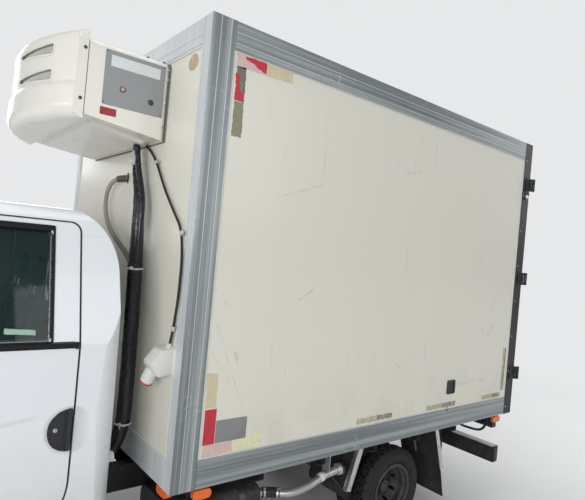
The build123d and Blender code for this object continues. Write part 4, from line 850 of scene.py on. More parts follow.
def front_wall_marks():
    level = 0.0001 - skin
    patch = slab(torn(ring(0.795, 2.726, 0.050, 0.040), 0.006, 0.0012), 0.0004, on_front(level))
    Form(patch).piece("glue_patch", "box_panel", worn_tape("glue_patch", (0.52, 0.40, 0.22), 0.34, 0.7))
    trace = slab(ring(0.82, 1.04, 0.042, 0.052, 32), 0.0003, on_front(level), rim=0.004)
    Form(trace).piece("worn_ring", "box_panel", worn_tape("ring_trace", (0.60, 0.56, 0.48), 0.44))


def rear_post_fittings():
    rivets = Form()
    for side in (1, -1):
        for step in range(8):
            z = 2.779 - 0.286 * step
            rivets.add(screw(at(frame_front - 0.030, side * box_side, z), (0, side, 0), 0.0055, 0.003))
    for step in range(12):
        y = -0.88 + 0.16 * step
        rivets.add(screw(Vector((rear_face, y, box_high - 0.040)), (-1, 0, 0), 0.0055, 0.003))
    rivets.piece("post_rivets", "zinc_gear")
    lamps = Form()
    lens = Form()
    for side in (1, -1):
        centre = at(-2.958, side * box_side, 2.487)
        base = turned([(0, 0), (0.021, 0), (0.021, 0.004), (0.017, 0.009), (0, 0.009)], centre, (0, side, 0),
                      24)
        lamps.add(base)
        lens.add(turned([(0, 0.008), (0.0155, 0.008), (0.013, 0.017), (0.007, 0.021), (0, 0.022)], centre,
                        (0, side, 0), 24))
        route = [at(-2.976, side * box_side, 2.486), at(-2.990, side * (box_side + 0.008), 2.496),
                 at(-2.998, side * (box_side + 0.010), 2.512), at(-3.000, side * (box_side + 0.002), 2.530)]
        lamps.add(tube(route, 0.0022, 8))
    lamps.piece("post_lamp_base", "dark_trim")
    lens.piece("post_lamp_lens", "lamp_lens", clear_plastic("white_lens", (0.80, 0.81, 0.80), flutes=0.3))


# Refrigeration unit
unit_side = 0.550
unit_top = 2.775
cover_seam = 0.410                  # where the cover meets the housing, as u
fan_axis = box_front - 0.434        # the bowed cover's plan centre
cover_bow = 1.038                   # its radius about that centre
slot_rows = ((2.700, 2.750), (2.576, 2.627))


def underside(u):
    """Height of the housing's sloping underside."""
    return 2.370 + 0.050 * (u + skin) / (cover_seam + skin)


def unit_gaskets():
    gasket = Form()
    for u, grow, low in ((-skin + 0.0005, 0.0030, 2.366), (cover_seam - 0.0035, 0.0014, 2.4175)):
        half = unit_side + grow
        top = unit_top + 0.0003 + grow + (0.004 if u > 0.1 else 0.0)
        rows = [(-half, low, 0.0), (half, low, 0.0), (half, top, 0.036), (-half, top, 0.036)]
        gasket.add(slab(rows, 0.004, on_front(u), rim=0.020))
    gasket.piece("unit_gaskets", "black_rubber", grey_seal_gap_shade)


def unit_panels():
    """Control panel on the left with its lamps and labels, and a louvred access panel on the right."""
    panel = Form(slab(rectangle(0.027, 2.486, 0.330, 2.748, 0.006), 0.0025, on_side(unit_side), 0.0008))
    panel.piece("control_panel", "unit_shell",
                plain("panel_grey", (0.30, 0.315, 0.32), 0.40, 0.0, 160.0, 0.12, 0.06))
    for name, rows, lift, vinyl in (
            ("blank_label", rectangle(0.054, 2.673, 0.302, 2.727, 0.002), 0.0026,
             ("label_vinyl", (0.74, 0.77, 0.77), 0.30)),
            ("red_label", rectangle(0.257, 2.436, 0.335, 2.473, 0.002), 0.0001,
             ("red_vinyl", (0.36, 0.022, 0.028), 0.36))):
        label = Form(slab(rows, 0.0006, on_side(unit_side + lift)))
        label.piece(name, "unit_shell", plain(*vinyl, grain=30.0))
    bezels = Form()
    for name, u, z, lens in (("running_lamp", 0.237, 2.576, ("rose_lens", (0.62, 0.34, 0.36))),
                             ("fault_lamp", 0.092, 2.549, ("dark_red_lens", (0.060, 0.006, 0.010)))):
        centre = at(u, unit_side + 0.0025, z)
        rows = [(0.0095, 0), (0.0145, 0), (0.0145, 0.0025), (0.0125, 0.0045), (0.0095, 0.0045)]
        bezels.add(turned(rows, centre, (0, 1, 0), 32))
        dome = turned([(0, 0.001), (0.0098, 0.001), (0.0096, 0.005), (0.0065, 0.0075), (0, 0.0085)], centre,
                      (0, 1, 0), 32)
        Form(dome).piece(name, "red_lens", clear_plastic(*lens, flutes=0.2))
    bezels.piece("lamp_bezels", "dark_trim", dark_metal)
    access = Form(slab(rectangle(0.045, 2.470, 0.345, 2.735, 0.012), 0.003, on_side(unit_side, -1), 0.001))
    for step in range(9):
        z = 2.520 + 0.020 * step
        louvre = rounded_box(at(0.085, -unit_side - 0.010, z), at(0.305, -unit_side, z + 0.009), 0.0035)
        access.add(louvre)
    access.piece("access_panel", "unit_shell", shell_tint)


def unit_screws():
    bright, black = Form(), Form()
    for side in (1, -1):
        way = (0, side, 0)
        for u, z in ((0.010, 2.740), (0.010, 2.688), (0.015, 2.566), (0.020, 2.442)):
            bright.add(screw(at(u, side * unit_side, z), way, 0.0052, 0.0032))
        for u, z in ((0.424, 2.723), (0.428, 2.487)):
            black.add(screw(at(u, side * (unit_side + 0.004), z), way, 0.0068, 0.0035))
        for u, z in ((0.035, 2.740), (0.035, 2.494), (0.322, 2.496), (0.322, 2.741)):
            black.add(screw(at(u, side * (unit_side + 0.0025), z), way, 0.0030, 0.0018))
        for u in (0.005, 0.092):
            place = at(u + 0.012, side * 0.495, unit_top + 0.0015 + 0.011 * u)
            black.add(hex_bolt(place, (0, 0, 1), 0.008, 0.012))
    for y in (0.471, 0.141, -0.191, -0.500):
        # a spring clip over the cover's lower flange
        top = underside(0.41) - 0.006
        path = [at(0.400, y, top + 0.002), at(0.412, y, top - 0.006), at(0.436, y, top - 0.008),
                at(0.440, y, top + 0.003)]
        black.add(tube(path, 0.0032, 8, straight=True))
        black.add(rounded_box(at(0.424, y - 0.010, top - 0.010), at(0.436, y + 0.010, top - 0.004), 0.002))
    for u, y in ((0.345, 0.505), (0.345, -0.505), (0.030, 0.520), (0.025, 0.020), (0.025, -0.480)):
        bright.add(screw(at(u, y, underside(u)), (0, 0, -1), 0.0048, 0.003))
    bright.piece("unit_screws", "zinc_gear")
    black.piece("unit_fasteners", "dark_trim", dark_metal)


def slot_grilles():
    """Fine bars just behind the cover's slots, over the coil."""
    grille = Form()
    reach = cover_bow - 0.004 - 0.012
    for low, high in slot_rows:
        for side in (1, -1):
            for step in range(42):
                y = side * (0.072 + 0.0081 * step)
                swing = math.asin(y / reach)
                bar = rounded_box((-0.0012, -0.0019, low - 0.012), (0.0012, 0.0019, high + 0.012))
                turn = Matrix.Translation((fan_axis + reach * math.cos(swing), y, 0))
                turn = turn @ Matrix.Rotation(swing, 4, "Z")
                grille.add(placed(bar, turn))
            for step in range(5):
                z = low - 0.006 + (high - low + 0.012) * step / 4
                points = [(fan_axis + (reach + 0.001) * math.cos(s), (reach + 0.001) * math.sin(s), z)
                          for s in [side * (0.066 + 0.0335 * k) for k in range(11)]]
                grille.add(tube(points, 0.0013, 6, straight=True))
    grille.piece("slot_grilles", "unit_shell",
                 plain("grille_wire", (0.78, 0.77, 0.73), 0.45, 0.0, 120.0), crease=50)


# Hoses, the power cable and the standby socket on the front wall
def line_along(rows, smoothness=14):
    """Points read from the smooth line through a route's rows of u, y and height."""
    mesh = line_mesh([at(*row) for row in rows], smoothness)
    places = [vert.co.copy() for vert in mesh.vertices]
    bpy.data.meshes.remove(mesh)
    return places


def evenly(points, pitch):
    """The same line as points a fixed distance apart."""
    lengths = [0.0]
    for start, end in zip(points, points[1:]):
        lengths.append(lengths[-1] + (end - start).length)
    count = max(2, round(lengths[-1] / pitch))
    even, row = [], 0
    for step in range(count + 1):
        goal = lengths[-1] * step / count
        while row < len(points) - 2 and lengths[row + 1] < goal:
            row += 1
        share = (goal - lengths[row]) / max(1e-9, lengths[row + 1] - lengths[row])
        even.append(points[row].lerp(points[row + 1], min(1.0, share)))
    return even


bundle_route = [(0.060, 0.338, 2.362), (0.060, 0.350, 2.235), (0.060, 0.430, 2.110), (0.060, 0.458, 1.900),
                (0.060, 0.468, 1.690), (0.060, 0.488, 1.400), (0.060, 0.498, 1.090), (0.062, 0.500, 0.880),
                (0.110, 0.440, 0.720), (0.250, 0.290, 0.700), (0.450, 0.180, 0.690)]
thin_route = [(0.072, 0.368, 2.362), (0.068, 0.392, 2.270), (0.066, 0.436, 2.180), (0.062, 0.486, 2.080),
              (0.066, 0.505, 1.960), (0.070, 0.505, 1.840), (0.066, 0.488, 1.730), (0.066, 0.478, 1.640)]
wire_route = [(0.050, 0.318, 2.362), (0.048, 0.312, 2.300), (0.046, 0.334, 2.200), (0.044, 0.408, 2.090),
              (0.044, 0.436, 1.960), (0.044, 0.440, 1.840), (0.046, 0.444, 1.740), (0.050, 0.452, 1.660)]
drain_route = [(-0.055, 0.108, 2.212), (-0.008, 0.070, 2.213), (0.030, 0.008, 2.206), (0.040, -0.080, 2.185),
               (0.040, -0.149, 2.114), (0.040, -0.129, 2.000), (0.040, -0.020, 1.900), (0.040, 0.150, 1.826),
               (0.042, 0.300, 1.766), (0.046, 0.378, 1.716), (0.048, 0.412, 1.655)]


def hose_bundle():
    wrap = tape_wrap()
    even = evenly(line_along(bundle_route), 0.020)
    radii = []
    for place in even:
        z = place.z
        radius = 0.020 + 0.0185 * min(1.0, max(0.0, (2.30 - z) / 0.62))
        radii.append(radius + random.uniform(-0.0009, 0.0009))
    bundle = Form(tube(even, 1.0, 20, straight=True, radii=radii))
    bundle.add(tube(evenly(line_along(thin_route, 12), 0.02), 0.0155, 14, straight=True))
    bundle.add(tube([at(*row) for row in wire_route], 0.0075, 10))
    made = bundle.piece("taped_hoses", "black_rubber", wrap, crease=70)
    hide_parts("hose_bundle")
    ties = Form()
    for z, y, radius in ((2.270, 0.3620, 0.0400), (1.712, 0.4700, 0.0450), (0.920, 0.5000, 0.0405)):
        centre = at(0.062, y, z)
        ties.add(band(centre, (0.05, 0.10, 1), radius, radius + 0.0022, -0.005, 0.005))
        lock = centre + Vector((radius * 0.70, radius * 0.72, 0))
        ties.add(block(lock, (0.006, 0.006, 0.007), 0.002))
        tail = [lock, lock + Vector((0.012, 0.022, 0.001)), lock + Vector((0.016, 0.050, -0.006))]
        ties.add(tube(tail, 0.0026, 6))
    ties.piece("hose_ties", "socket_plastic")
    plugs = Form()
    for y, z, radius in ((0.372, 2.318, 0.0125), (0.384, 2.296, 0.0115)):
        plugs.add(rod(at(0.086, y, z), at(0.088, y + 0.008, z - 0.048), radius, 20, 0.002))
        plugs.add(rod(at(0.0855, y - 0.001, z + 0.008), at(0.086, y, z), radius * 0.7, 16))
    plugs.piece("wire_plugs", "socket_plastic", plain("plug_plastic", (0.46, 0.47, 0.47), 0.42))


def drain_hose():
    even = evenly(line_along(drain_route), 0.0026)
    radii = [0.0138 if index % 2 else 0.0116 for index in range(len(even))]
    made = Form(tube(even, 1.0, 14, straight=True, radii=radii)).piece(
        "ribbed_drain_hose", "grey_hose", plain("hose_plastic", (0.40, 0.385, 0.32), 0.5, 0.0, 60.0),
        crease=75)
    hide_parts("drain_hose")
    elbow = evenly(line_along(drain_route), 0.004)
    sleeve = [place for place in elbow if -skin < place.x - box_front < 0.026]
    cuff = Form(tube(sleeve, 0.0195, 20, straight=True))
    cuff.add(turned([(0, 0), (0.031, 0), (0.031, 0.003), (0.024, 0.006), (0, 0.006)],
                    at(-skin, 0.0735, 2.2125), (1, -0.4, 0), 32))
    cuff.piece("drain_elbow", "dark_trim", plain("dark_elbow", (0.085, 0.080, 0.072), 0.45))


def power_cable():
    clips = Form()
    for y, z, lean in ((0.509, 2.264, (0, -0.75, 0.66)), (0.872, 1.906, (0, -0.55, 0.83)),
                       (0.868, 1.462, (0, 0.16, 0.98))):
        centre = at(0.012, y, z)
        lean = Vector(lean).normalized()
        rows = [(0.0062, -0.011), (0.0100, -0.011), (0.0108, -0.009), (0.0108, 0.009), (0.0100, 0.011),
                (0.0062, 0.011)]
        clips.add(turned(rows, centre, lean, 24))
        foot = centre + Vector((0, 0.017, 0.006))
        clips.add(rounded_box(at(-skin, foot.y - 0.008, foot.z - 0.008),
                              at(0.004, foot.y + 0.008, foot.z + 0.008), 0.002))
        clips.add(screw(at(0.004, foot.y, foot.z), (1, 0, 0), 0.0036, 0.002))
    clips.piece("cable_clips", "socket_plastic", plain("clip_plastic", (0.50, 0.50, 0.46), 0.45))


def standby_socket():
    """Angled wall socket: flanged body, gland on top, spout with a red ring under its flap."""
    rows = [(-skin, 1.250, 0.0), (0.066, 1.236, 0.020), (0.109, 1.300, 0.020), (0.060, 1.362, 0.020),
            (-skin, 1.371, 0.0)]
    body = Form(slab(rows, 0.098, on_side(0.776), 0.008, both=True))
    plate = slab(rectangle(0.758, 1.240, 0.892, 1.378, 0.016), 0.008, on_front(-skin), 0.003)
    body.add(plate)
    start, end = at(0.058, 0.800, 1.275), at(0.0775, 0.766, 1.192)
    way = (end - start).normalized()
    body.add(rod(start, end - way * 0.006, 0.0305, 36, 0.002))
    for share in (0.38, 0.52, 0.66):
        body.add(turned([(0.030, -0.002), (0.0322, -0.001), (0.0322, 0.001), (0.030, 0.002)],
                        start.lerp(end, share), way, 36))
    gland = at(0.012, 0.8435, 1.3705)
    body.add(turned([(0, -0.012), (0.016, -0.012), (0.016, 0.002), (0.013, 0.004), (0.013, 0.016),
                     (0.0075, 0.020), (0.0062, 0.020), (0.0062, 0.0), (0, 0.0)], gland, (0, 0.05, 1), 8))
    made = body.piece("standby_socket_body", "socket_plastic", paint["socket_plastic"])
    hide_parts("standby_socket")
    mouth = Form(turned([(0.020, -0.006), (0.0318, -0.006), (0.0326, 0.0), (0.0318, 0.003), (0.020, 0.003)],
                        end - way * 0.004, way, 36))
    mouth.add(rod(end - way * 0.012, end - way * 0.006, 0.021, 24))
    for step in range(3):
        turn = step * math.tau / 3
        side = way.orthogonal().normalized()
        pin = end - way * 0.008 + (Matrix.Rotation(turn, 3, way) @ side) * 0.011
        mouth.add(rod(pin, pin + way * 0.007, 0.0028, 12), 1)
    mouth.piece("socket_ring", "red_lens", plain("red_ring", (0.50, 0.055, 0.070), 0.42), bright_metal)
    screws = Form()
    for y, z in product((0.766, 0.884), (1.250, 1.368)):
        screws.add(screw(at(0.004, y, z), (1, 0, 0), 0.0042, 0.0022))
    screws.piece("socket_screws", "zinc_gear")


# Cab
belt = 1.400                        # height of the bend under the door window
lean = 0.274                        # inwards per metre of height above the belt
rise = math.sqrt(1 + lean ** 2)


def skin_y(z):
    """Half width of the cab's outer skin at a height."""
    if z > belt:
        return cab_half - 0.004 - lean * (z - belt)
    return cab_half - 0.015 * max(0.0, 1.1 - z) - 0.0133 * max(0.0, z - 1.1)


def on_upper_side(side):
    """Like on_side, for the leaning skin above the belt; up is measured from the belt along the skin."""
    up = Vector((0, -side * lean, 1)) / rise
    out = Vector((0, side, lean)) / rise
    return axes(at(0, side * (cab_half - 0.004), belt), (1, 0, 0), up, out)


def raised(rows):
    """Outline rows in u and height, turned to the leaning plane's own rows."""
    return [(row[0], (row[1] - belt) * rise, *row[2:]) for row in rows]


arch_radius = 0.425


def door_glass_rubbers():
    for side, body in door_bodies.items():
        rows = [(0.524, 1.412, 0.010), (1.223, 1.412, 0.030), (0.812, 1.885, 0.040), (0.524, 1.885, 0.008)]
        seal = Form(slab(raised(rows), 0.0265, on_upper_side(side), 0.002, -0.023, rim=0.0092))
        rows = [(0.530, 1.862, 0.002), (0.836, 1.862, 0.002), (0.812, 1.880, 0.010), (0.530, 1.880, 0.002)]
        seal.add(slab(raised(rows), 0.024, on_upper_side(side), 0.002, -0.0215))
        strip = slab(raised(rectangle(0.5335, 1.418, 0.5395, 1.846, 0.001)), 0.006, on_upper_side(side),
                     0.001, -0.0215)
        Form(strip).piece(f"{side_names[side]}_glass_channel", "zinc_gear", body=body)
        for rows, thickness, edge, start in (
                (rectangle(0.428, 1.3905, 1.262, 1.4125), 0.0085, 0.003, -0.003),
                (rectangle(0.4265, 1.387, 0.437, 1.416, 0.003), 0.011, 0.002, -0.004),
                ([(0.440, 1.4135), (1.235, 1.4135), (1.232, 1.4175), (0.440, 1.4175)], 0.006, 0.001, -0.006)):
            seal.add(slab(rows, thickness, on_side(skin_y(belt), side), edge, start))
        seal.piece(f"{side_names[side]}_glass_rubber", "black_rubber", body=body)
    strip = worn_tape("green_tape", (0.40, 0.58, 0.46), -0.12)
    rows = raised([(0.586, 1.447), (0.698, 1.455), (0.698, 1.475), (0.586, 1.467)])
    made = Form(slab(torn(rows, 0.01, 0.001), 0.0005, on_upper_side(1), start=-0.0198))
    made.piece("glass_tape", "clear_glass", strip, body="left_cab_door")


def door_gap_seals():
    """Round each door opening, inside the shut line: a white painted lip, and deeper a grey tube that is
    painted shade for the gap.
    """
    inner = [(0.427, 0.586, 0.259), (1.327, 0.586, 0.012), (1.327, 1.374, 0.052), (0.875, 1.899, 0.032),
             (0.427, 1.899, 0.036)]
    clear = [place for place in outline_points(inner, segments=10)
             if math.dist((place.x, place.y), front_wheel) > arch_radius + 0.010]
    # the line starts after its widest low gap, the one at the wheel arch
    gaps = [(place - before).length for before, place in zip(clear[-1:] + clear, clear)]
    low_gaps = [gap if gap < 0.75 and place.y < 0.9 else 0 for gap, place in zip(gaps, clear)]
    start = low_gaps.index(max(low_gaps))
    line = clear[start:] + clear[:start]
    for side in (1, -1):
        seal = Form()
        # the outer tube is white paint; the deeper one is grey, painted shade for the gap
        for depth, radius, tint in ((0.0125, 0.0066, 0), (0.030, 0.0095, 1)):
            points = [at(place.x, side * (skin_y(place.y) - depth), place.y) for place in line]
            seal.add(tube(points, radius, 8, straight=True), tint)
        seal.piece(f"{side_names[side]}_door_seal", "black_rubber", paint["white_paint"], grey_seal_gap_shade)


def door_handles():
    for side, body in door_bodies.items():
        level = cab_half - 0.0095
        place = on_side(level, side)
        curve, inset = (
            [(along + wide * math.cos(turn * math.tau / 40), 1.057 + tall * math.sin(turn * math.tau / 40))
             for turn in range(-10, 11)]
            for along, wide, tall in ((0.4262, 0.0955, 0.1035), (0.454, 0.054, 0.078)))
        handle = Form(slab(curve, 0.0070, place, 0.0030))
        handle.add(slab([(0.4266, 0.972, 0.004), (0.4440, 0.968, 0.006), (0.4440, 1.146, 0.006),
                         (0.4266, 1.142, 0.004)], 0.0155, place, 0.0040, segments=3))
        handle.add(slab(inset, 0.0012, place, start=0.0069, rim=0.0022))
        handle.piece(f"{side_names[side]}_door_handle", "dark_trim", body=body)
        lock = Form(turned([(0, 0.0), (0.0088, 0.0), (0.0088, 0.0022), (0.0076, 0.0034), (0, 0.0034)],
                           at(0.4885, side * (level + 0.0068), 1.059), (0, side, 0), 28))
        lock.add(slab(rectangle(0.4876, 1.0545, 0.4894, 1.0635), 0.0006, on_side(level + 0.0102, side)), 1)
        lock.piece(f"{side_names[side]}_door_lock", "zinc_gear", bright_metal, black_plastic, body=body)


def cab_seams():
    """Folded flange down each back corner."""
    seam = Form()
    for side in (1, -1):
        rows = []
        for step in range(17):
            z = 0.46 + 0.076 * step
            rows.append(at(0.2355 + 0.0276 * (z - 0.46), side * (skin_y(z) - 0.0600), z))
        seam.add(tube(rows, 0.0055, 10))
    seam.piece("cab_seams", "white_paint")
    cap_rows = [(0, 0.0), (0.017, 0.0), (0.017, 0.022), (0.023, 0.024), (0.023, 0.044), (0.020, 0.050),
                (0, 0.051)]
    cap = Form(turned(cap_rows, at(0.247, 0.752, 0.863), (-1, 0, 0), 36))
    cap.piece("back_cap", "socket_plastic")


bow_centre = -0.370                 # plan centre of the bowed nose and windscreen, as u
screen_foot = 1.262                 # height of the windscreen's lower edge
screen_reach = 2.110                # and its radius about the bow's centre
screen_slope = 0.9235               # how far the screen falls back per metre of height
bumper_top, bumper_front = 0.620, 2.130
nose_foot, nose_front, nose_slope = 0.640, 2.090, 1 / 6


def screen_at(y, z, lift=0.0):
    """A place on the bowed windscreen's plane, lifted off it."""
    reach = screen_reach - screen_slope * (z - screen_foot) + lift * 0.735
    return at(bow_centre + math.sqrt(reach ** 2 - y ** 2), y, z + lift * 0.679)


def nose_at(y, z, lift=0.0):
    """A place on the bowed nose panel or bumper."""
    front = bumper_front if z < bumper_top else nose_front - (z - nose_foot) * nose_slope
    return at(bow_centre + math.sqrt((front - bow_centre + lift) ** 2 - y ** 2), y, z)


def front_details():
    rubber_ring = Form()
    outline, rear = (
        outline_points([(-low, bottom, 0.06), (low, bottom, 0.06), (high, top, 0.06), (-high, top, 0.06)], 8)
        for low, bottom, high, top in ((0.700, 1.330, 0.600, 1.848), (0.560, 1.400, 0.540, 1.680)))
    dense = []
    for start, end in zip(outline, outline[1:] + outline[:1]):
        steps = max(1, round((end - start).length / 0.08))
        dense += [start.lerp(end, step / steps) for step in range(steps)]
    rubber_ring.add(tube([screen_at(p.x, p.y, -0.002) for p in dense], 0.0095, 10, closed=True,
                         straight=True))
    rubber_ring.add(tube([at(0.2155 + 0.0276 * (p.y - 0.30), p.x, p.y) for p in rear], 0.0085, 10,
                         closed=True, straight=True))
    rubber_ring.piece("screen_rubbers", "black_rubber")
    wipers = Form()
    for low, high, base in ((-0.60, -0.08, -0.12), (0.00, 0.52, 0.46)):
        pivot = screen_at(base, 1.292, 0.010)
        middle = screen_at((low + high) / 2, 1.372, 0.026)
        wipers.add(rod(screen_at(base, 1.292, -0.010), pivot + Vector((0.004, 0, 0.004)), 0.013, 20, 0.002))
        wipers.add(tube([pivot, screen_at(base - 0.05, 1.315, 0.030), middle], 0.0048, 8))
        for lift, radius, sides in ((0.014, 0.0042, 8), (0.0065, 0.0030, 6)):
            blade = [screen_at(low + (high - low) * k / 8, 1.352 + 0.040 * k / 8, lift) for k in range(9)]
            wipers.add(tube(blade, radius, sides))
    wipers.piece("wipers", "dark_trim")
    grille = Form()
    for low, high, half, rows in ((0.684, 0.774, 0.436, 5), (0.366, 0.412, 0.386, 3),
                                  (0.418, 0.464, 0.386, 3), (0.470, 0.516, 0.386, 3)):
        count = round(half / 0.016)
        lines = [[nose_at(half * step / count, z, -0.034) for z in (low, high)]
                 for step in range(-count, count + 1)]
        lines += [[nose_at(half * k / 8, low + (high - low) * (step + 0.5) / rows, -0.031)
                   for k in range(-8, 9)]
                  for step in range(rows)]
        for line in lines:
            grille.add(tube(line, 0.0022, 6, straight=True))
    grille.piece("nose_grilles", "dark_trim")
    lamps, bulbs, amber = Form(), Form(), Form()
    for side in (1, -1):
        for y, u, z, radius in ((0.590, 1.918, 0.862, 0.058), (0.712, 1.880, 0.856, 0.052)):
            rows = [(radius, 0.0), (radius * 0.94, -0.018), (radius * 0.74, -0.040), (radius * 0.40, -0.056),
                    (0.009, -0.060), (0.009, -0.063), (radius * 0.46, -0.059), (radius * 0.80, -0.043),
                    (radius + 0.003, -0.018), (radius + 0.006, 0.0)]
            lamps.add(turned(rows, at(u, side * y, z), (1, 0, 0), 40))
            bulbs.add(turned([(0, -0.062), (0.0085, -0.062), (0.0085, -0.040), (0.006, -0.026), (0, -0.022)],
                             at(u, side * y, z), (1, 0, 0), 20))
        amber.add(turned([(0, 0), (0.026, 0), (0.026, 0.008), (0.018, 0.020), (0, 0.024)],
                         at(1.840, side * 0.792, 0.852), (1, side * 0.25, 0), 28))
        back = [(0.528, 0.788, 0.02), (0.828, 0.788, 0.02), (0.828, 0.925, 0.02), (0.545, 0.945, 0.02)]
        lamps.add(slab(on_hand(back, side), 0.004, on_front(1.8005)), 1)
    lamps.piece("headlamp_bowls", "zinc_gear", bright_metal, grey_plastic)
    bulbs.piece("headlamp_bulbs", "lamp_lens", clear_plastic("bulb_glass", (0.70, 0.72, 0.74), flutes=0.1))
    amber.piece("indicator_lenses", "amber_lens")


def mirrors():
    glass = plain("mirror_silver", (0.72, 0.73, 0.74), 0.06, 1.0, 20.0, 0.02, 0.04)
    for side, body in door_bodies.items():
        place = on_front(1.262, -1)
        made = Form(slab(on_hand(rectangle(0.908, 1.236, 1.048, 1.464, 0.020), side), 0.0012, place, 0.0006))
        made.add(slab(on_hand(rectangle(0.902, 1.230, 1.054, 1.470, 0.024), side), 0.0030, place, 0.001,
                      rim=0.0065), 1)
        made.piece(f"{side_names[side]}_mirror_glass", "clear_glass", glass, black_plastic, body=body)


def steering_wheel():
    rake = math.radians(38.0)
    way = Vector((-math.cos(rake), 0, math.sin(rake)))
    centre = at(1.290, 0.380, 1.215)
    wheel = Form(turned(ring(0.190, 0.0, 0.0145, count=14), centre, way, 72))
    wheel.add(turned([(0, -0.019), (0.046, -0.019), (0.047, 0.006), (0.040, 0.016), (0.020, 0.019),
                      (0, 0.0195)], centre, way, 36))
    across = way.cross(Vector((0, 1, 0))).normalized()
    for turn in (90.0, 210.0, 330.0):
        arm = Matrix.Rotation(math.radians(turn), 3, way) @ across
        inner, middle, outer = centre + arm * 0.040, centre + arm * 0.11 - way * 0.004, centre + arm * 0.186
        wheel.add(tube([inner, middle, outer], 0.0095, 10))
    made = wheel.piece("steering_wheel_rim", "dark_trim", body="hand_wheel", crease=50)
    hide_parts("steering_wheel")


def cab_interior():
    """Instrument hood with two plain dials, vents, gear lever, pedals and door cards."""
    dash = Form()
    dash.add(rounded_box(at(1.462, 0.20, 1.215), at(1.640, 0.56, 1.318), 0.022, 3))
    for y, step in product((-0.70, -0.16, 0.04, 0.70), range(4)):
        u, z = 1.4765 + 0.0045 * step, 1.165 + 0.018 * step
        dash.add(rounded_box(at(u, y - 0.060, z), at(u + 0.0175, y + 0.060, z + 0.008), 0.003))
    dash.add(rounded_box(at(1.474, -0.52, 1.040), at(1.520, -0.22, 1.120), 0.010))
    dash.piece("dash_details", "dark_trim")
    dials = Form()
    for y in (0.305, 0.455):
        dials.add(turned([(0, 0), (0.050, 0), (0.053, 0.004), (0.058, 0.004), (0.058, -0.002), (0, -0.002)],
                         at(1.4615, y, 1.267), (-1, 0, 0.1), 40))
        for step in range(11):
            turn = math.radians(225 - 27 * step)
            tick = at(1.4604, y - 0.043 * math.cos(turn), 1.267 + 0.043 * math.sin(turn))
            dials.add(block(tick, (0.0006, 0.0012, 0.0035), 0), 1)
    dials.piece("plain_dials", "dark_trim", plain("dial_face", (0.03, 0.03, 0.032), 0.35), white_plastic)
    controls = Form()
    lever = [at(1.250, 0.0, 0.795), at(1.260, 0.01, 0.930), at(1.215, 0.03, 1.070)]
    controls.add(tube(lever, 0.0085, 12))
    controls.add(turned([(0, -0.024), (0.015, -0.022), (0.024, 0.0), (0.021, 0.016), (0.010, 0.025),
                         (0, 0.026)], lever[-1] + Vector((0, 0, 0.012)), (-0.2, 0.1, 1), 24))
    controls.add(turned([(0, 0.11), (0.016, 0.105), (0.030, 0.06), (0.070, 0.02), (0.085, 0.0), (0, 0.0)],
                        at(1.252, 0.0, 0.795), (0, 0, 1), 24))
    for y in (0.26, 0.38, 0.50):
        pedal = rounded_box((-0.036, -0.005, -0.040), (0.036, 0.005, 0.040), 0.004)
        turn = Matrix.Translation(at(1.690, y, 0.835)) @ Matrix.Rotation(math.radians(90), 4, "Z")
        controls.add(placed(pedal, turn @ Matrix.Rotation(math.radians(35), 4, "X")))
        controls.add(tube([at(1.697, y, 0.848), at(1.78, y, 0.93), at(1.822, y, 1.02)], 0.007, 8))
    controls.piece("cab_controls", "dark_trim")
    cloth = plain("door_card", (0.075, 0.078, 0.085), 0.75, 0.0, 260.0, 0.35)
    for side, body in door_bodies.items():
        level = -(cab_half - 0.0645)
        rows = [(0.470, 0.900, 0.05), (0.640, 0.800, 0.05), (1.200, 0.800, 0.05), (1.290, 0.900, 0.05),
                (1.290, 1.370, 0.03), (0.470, 1.370, 0.03)]
        card = Form(slab(rows, 0.008, on_side(level, -side), 0.003))
        card.add(slab(rectangle(0.560, 1.020, 1.060, 1.080, 0.02), 0.045, on_side(level, -side), 0.014,
                      segments=3), 1)
        card.add(slab(rectangle(0.760, 1.235, 0.860, 1.275, 0.012), 0.012, on_side(level, -side), 0.004,
                      0.007), 1)
        card.piece(f"{side_names[side]}_door_card", "seat_fabric", cloth, black_plastic, body=body)


# Seats: covers filled out by pressure, then sewn down along channels
voxel = 0.012           # grain of a pad's mesh
pressure = 4.0          # of the filling in its cover
seam_width = 0.009


def stuffed(part, swell=0.020):
    """A padded cover. Each point of it moves no further out than swell."""
    mesh = bpy.data.meshes.new("pad")
    part.to_mesh(mesh)
    part.free()
    pad = bpy.data.objects.new("pad", mesh)
    bpy.context.scene.collection.objects.link(pad)
    skin_over = pad.modifiers.new("remesh", "REMESH")
    skin_over.mode = "VOXEL"
    skin_over.voxel_size = voxel
    applied(pad)
    before = [vert.co.copy() for vert in pad.data.vertices]
    cloth = pad.modifiers.new("cloth", "CLOTH")
    cloth.settings.use_pressure = True
    cloth.settings.uniform_pressure_force = pressure
    cloth.settings.effector_weights.gravity = 0.0
    for moment in range(1, 21):
        bpy.context.scene.frame_set(moment)
    applied(pad)
    bpy.context.scene.frame_set(1)
    for vert, start in zip(pad.data.vertices, before):
        move = vert.co - start
        if move.length > swell:
            vert.co = start + move * (swell / move.length)
    smooth = pad.modifiers.new("smooth", "SUBSURF")
    smooth.levels = smooth.render_levels = 1
    applied(pad)
    filled = bmesh.new()
    filled.from_mesh(pad.data)
    mesh = pad.data
    bpy.data.objects.remove(pad)
    bpy.data.meshes.remove(mesh)
    return filled


def sewn(part, facing, channels, depth=0.010):
    """Draws a pad's face in along channels, each a function of how far a point is off its seam."""
    facing = Vector(facing)
    part.normal_update()
    moves = []
    for vert in part.verts:
        share = max(0.0, vert.normal.dot(facing) - 0.25) / 0.75
        if share > 0:
            off = min(channel(vert.co) for channel in channels)
            moves.append((vert, share * math.exp(-(off / seam_width) ** 2)))
    for vert, share in moves:
        vert.co -= facing * depth * share
    return part


